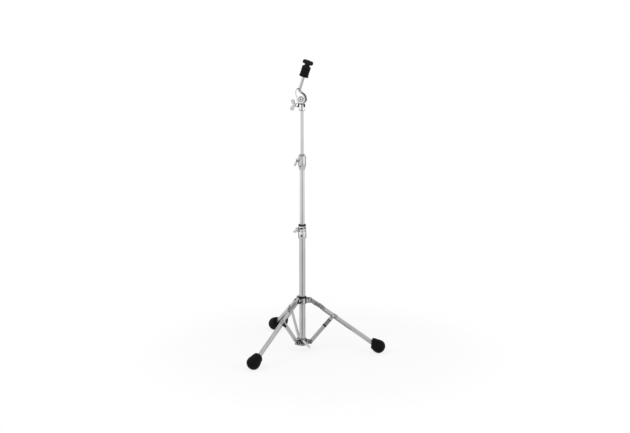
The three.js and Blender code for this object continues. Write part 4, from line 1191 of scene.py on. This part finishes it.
def world():
    """White walls for the camera, toned walls in polished metal and an even light on everything else."""
    scene_world = bpy.data.worlds.new("studio")
    bpy.context.scene.world = scene_world
    scene_world.use_nodes = True
    tree = scene_world.node_tree
    tree.nodes.clear()
    place = new_node(tree, "TexCoord")
    facing = new_node(tree, "VectorRotate", {"Vector": (place, "Generated"), "Angle": QUARTER - CAMERA_TURN},
                      rotation_type="Z_AXIS")
    split = new_node(tree, "SeparateXYZ", {"Vector": facing})
    angle = maths(tree, "ARCTAN2", (split, "Y"), (split, "X"))
    height = maths(tree, "ARCSINE", (split, "Z"))
    off_level = maths(tree, "ABSOLUTE", maths(tree, "ADD", height, -WALL_LEVEL))
    away = span_node(tree, off_level, WALL_FADE, interpolation_type="SMOOTHSTEP")
    around = new_node(tree, "MixRGB", {"Fac": away, "Color1": tone_ramp(tree, WALL_TONES, angle),
                                       "Color2": grey(AWAY_TONE)})
    tones = new_node(tree, "MixRGB", {"Fac": 1.0, "Color1": around, "Color2": tone_ramp(tree, HEIGHT_TONES, height)},
                     blend_type="MULTIPLY")
    rays = new_node(tree, "LightPath")
    shiny = maths(tree, "MAXIMUM", (rays, "Is Glossy Ray"), (rays, "Is Transmission Ray"))
    walls = new_node(tree, "Background", {"Color": tones})
    soft = new_node(tree, "Background", {"Color": grey(1), "Strength": EVEN_LIGHT})
    white = new_node(tree, "Background", {"Color": grey(1)})
    metal = new_node(tree, "MixShader", {"Fac": shiny, 1: soft, 2: walls})
    seen = new_node(tree, "MixShader", {"Fac": (rays, "Is Camera Ray"), 1: metal, 2: white})
    new_node(tree, "OutputWorld", {"Surface": seen})


FLOOR_RADIUS = 3.0
# Where the paper starts to fade and where it is gone, and how white the camera sees it
FLOOR_CLEAR = (0.5, 0.95)
FLOOR_WHITE_SHARE = 0.8


def floor():
    """A pale disc that fades out, so that the white walls start without a line."""
    bm = bmesh.new()
    bmesh.ops.create_circle(bm, cap_ends=True, segments=FINE_ROUND, radius=FLOOR_RADIUS)
    obj = in_scene("floor", mesh_from("floor", bm))
    material, tree, paper = material_of(
        "floor_paper", {"Base Color": grey(0.9), "Roughness": 0.9, "Specular IOR Level": 0.1})
    rays = new_node(tree, "LightPath")
    white = new_node(tree, "Emission", {"Strength": 1.0})
    whiter = maths(tree, "MULTIPLY", (rays, "Is Camera Ray"), FLOOR_WHITE_SHARE)
    surface = new_node(tree, "MixShader", {"Fac": whiter, 1: paper, 2: white})
    place = new_node(tree, "TexCoord")
    reach = new_node(tree, "VectorMath", {0: (place, "Object")}, operation="LENGTH")
    fade = span_node(tree, (reach, "Value"), FLOOR_CLEAR, interpolation_type="SMOOTHSTEP")
    seen = maths(tree, "MULTIPLY", fade, (rays, "Is Camera Ray"))
    hidden = maths(tree, "MAXIMUM", seen, (rays, "Is Glossy Ray"))
    clear = new_node(tree, "BsdfTransparent")
    mix = new_node(tree, "MixShader", {"Fac": hidden, 1: surface, 2: clear})
    feed(tree, tree.nodes["Material Output"], {"Surface": mix})
    obj.data.materials.append(material)


def studio():
    camera()
    world()
    floor()
    for name, values in LAMPS.items():
        lamp(name, *values)
    bpy.context.scene.view_settings.view_transform = "Standard"


tripod()
column()
tilter()
hidden_nodes()
studio()
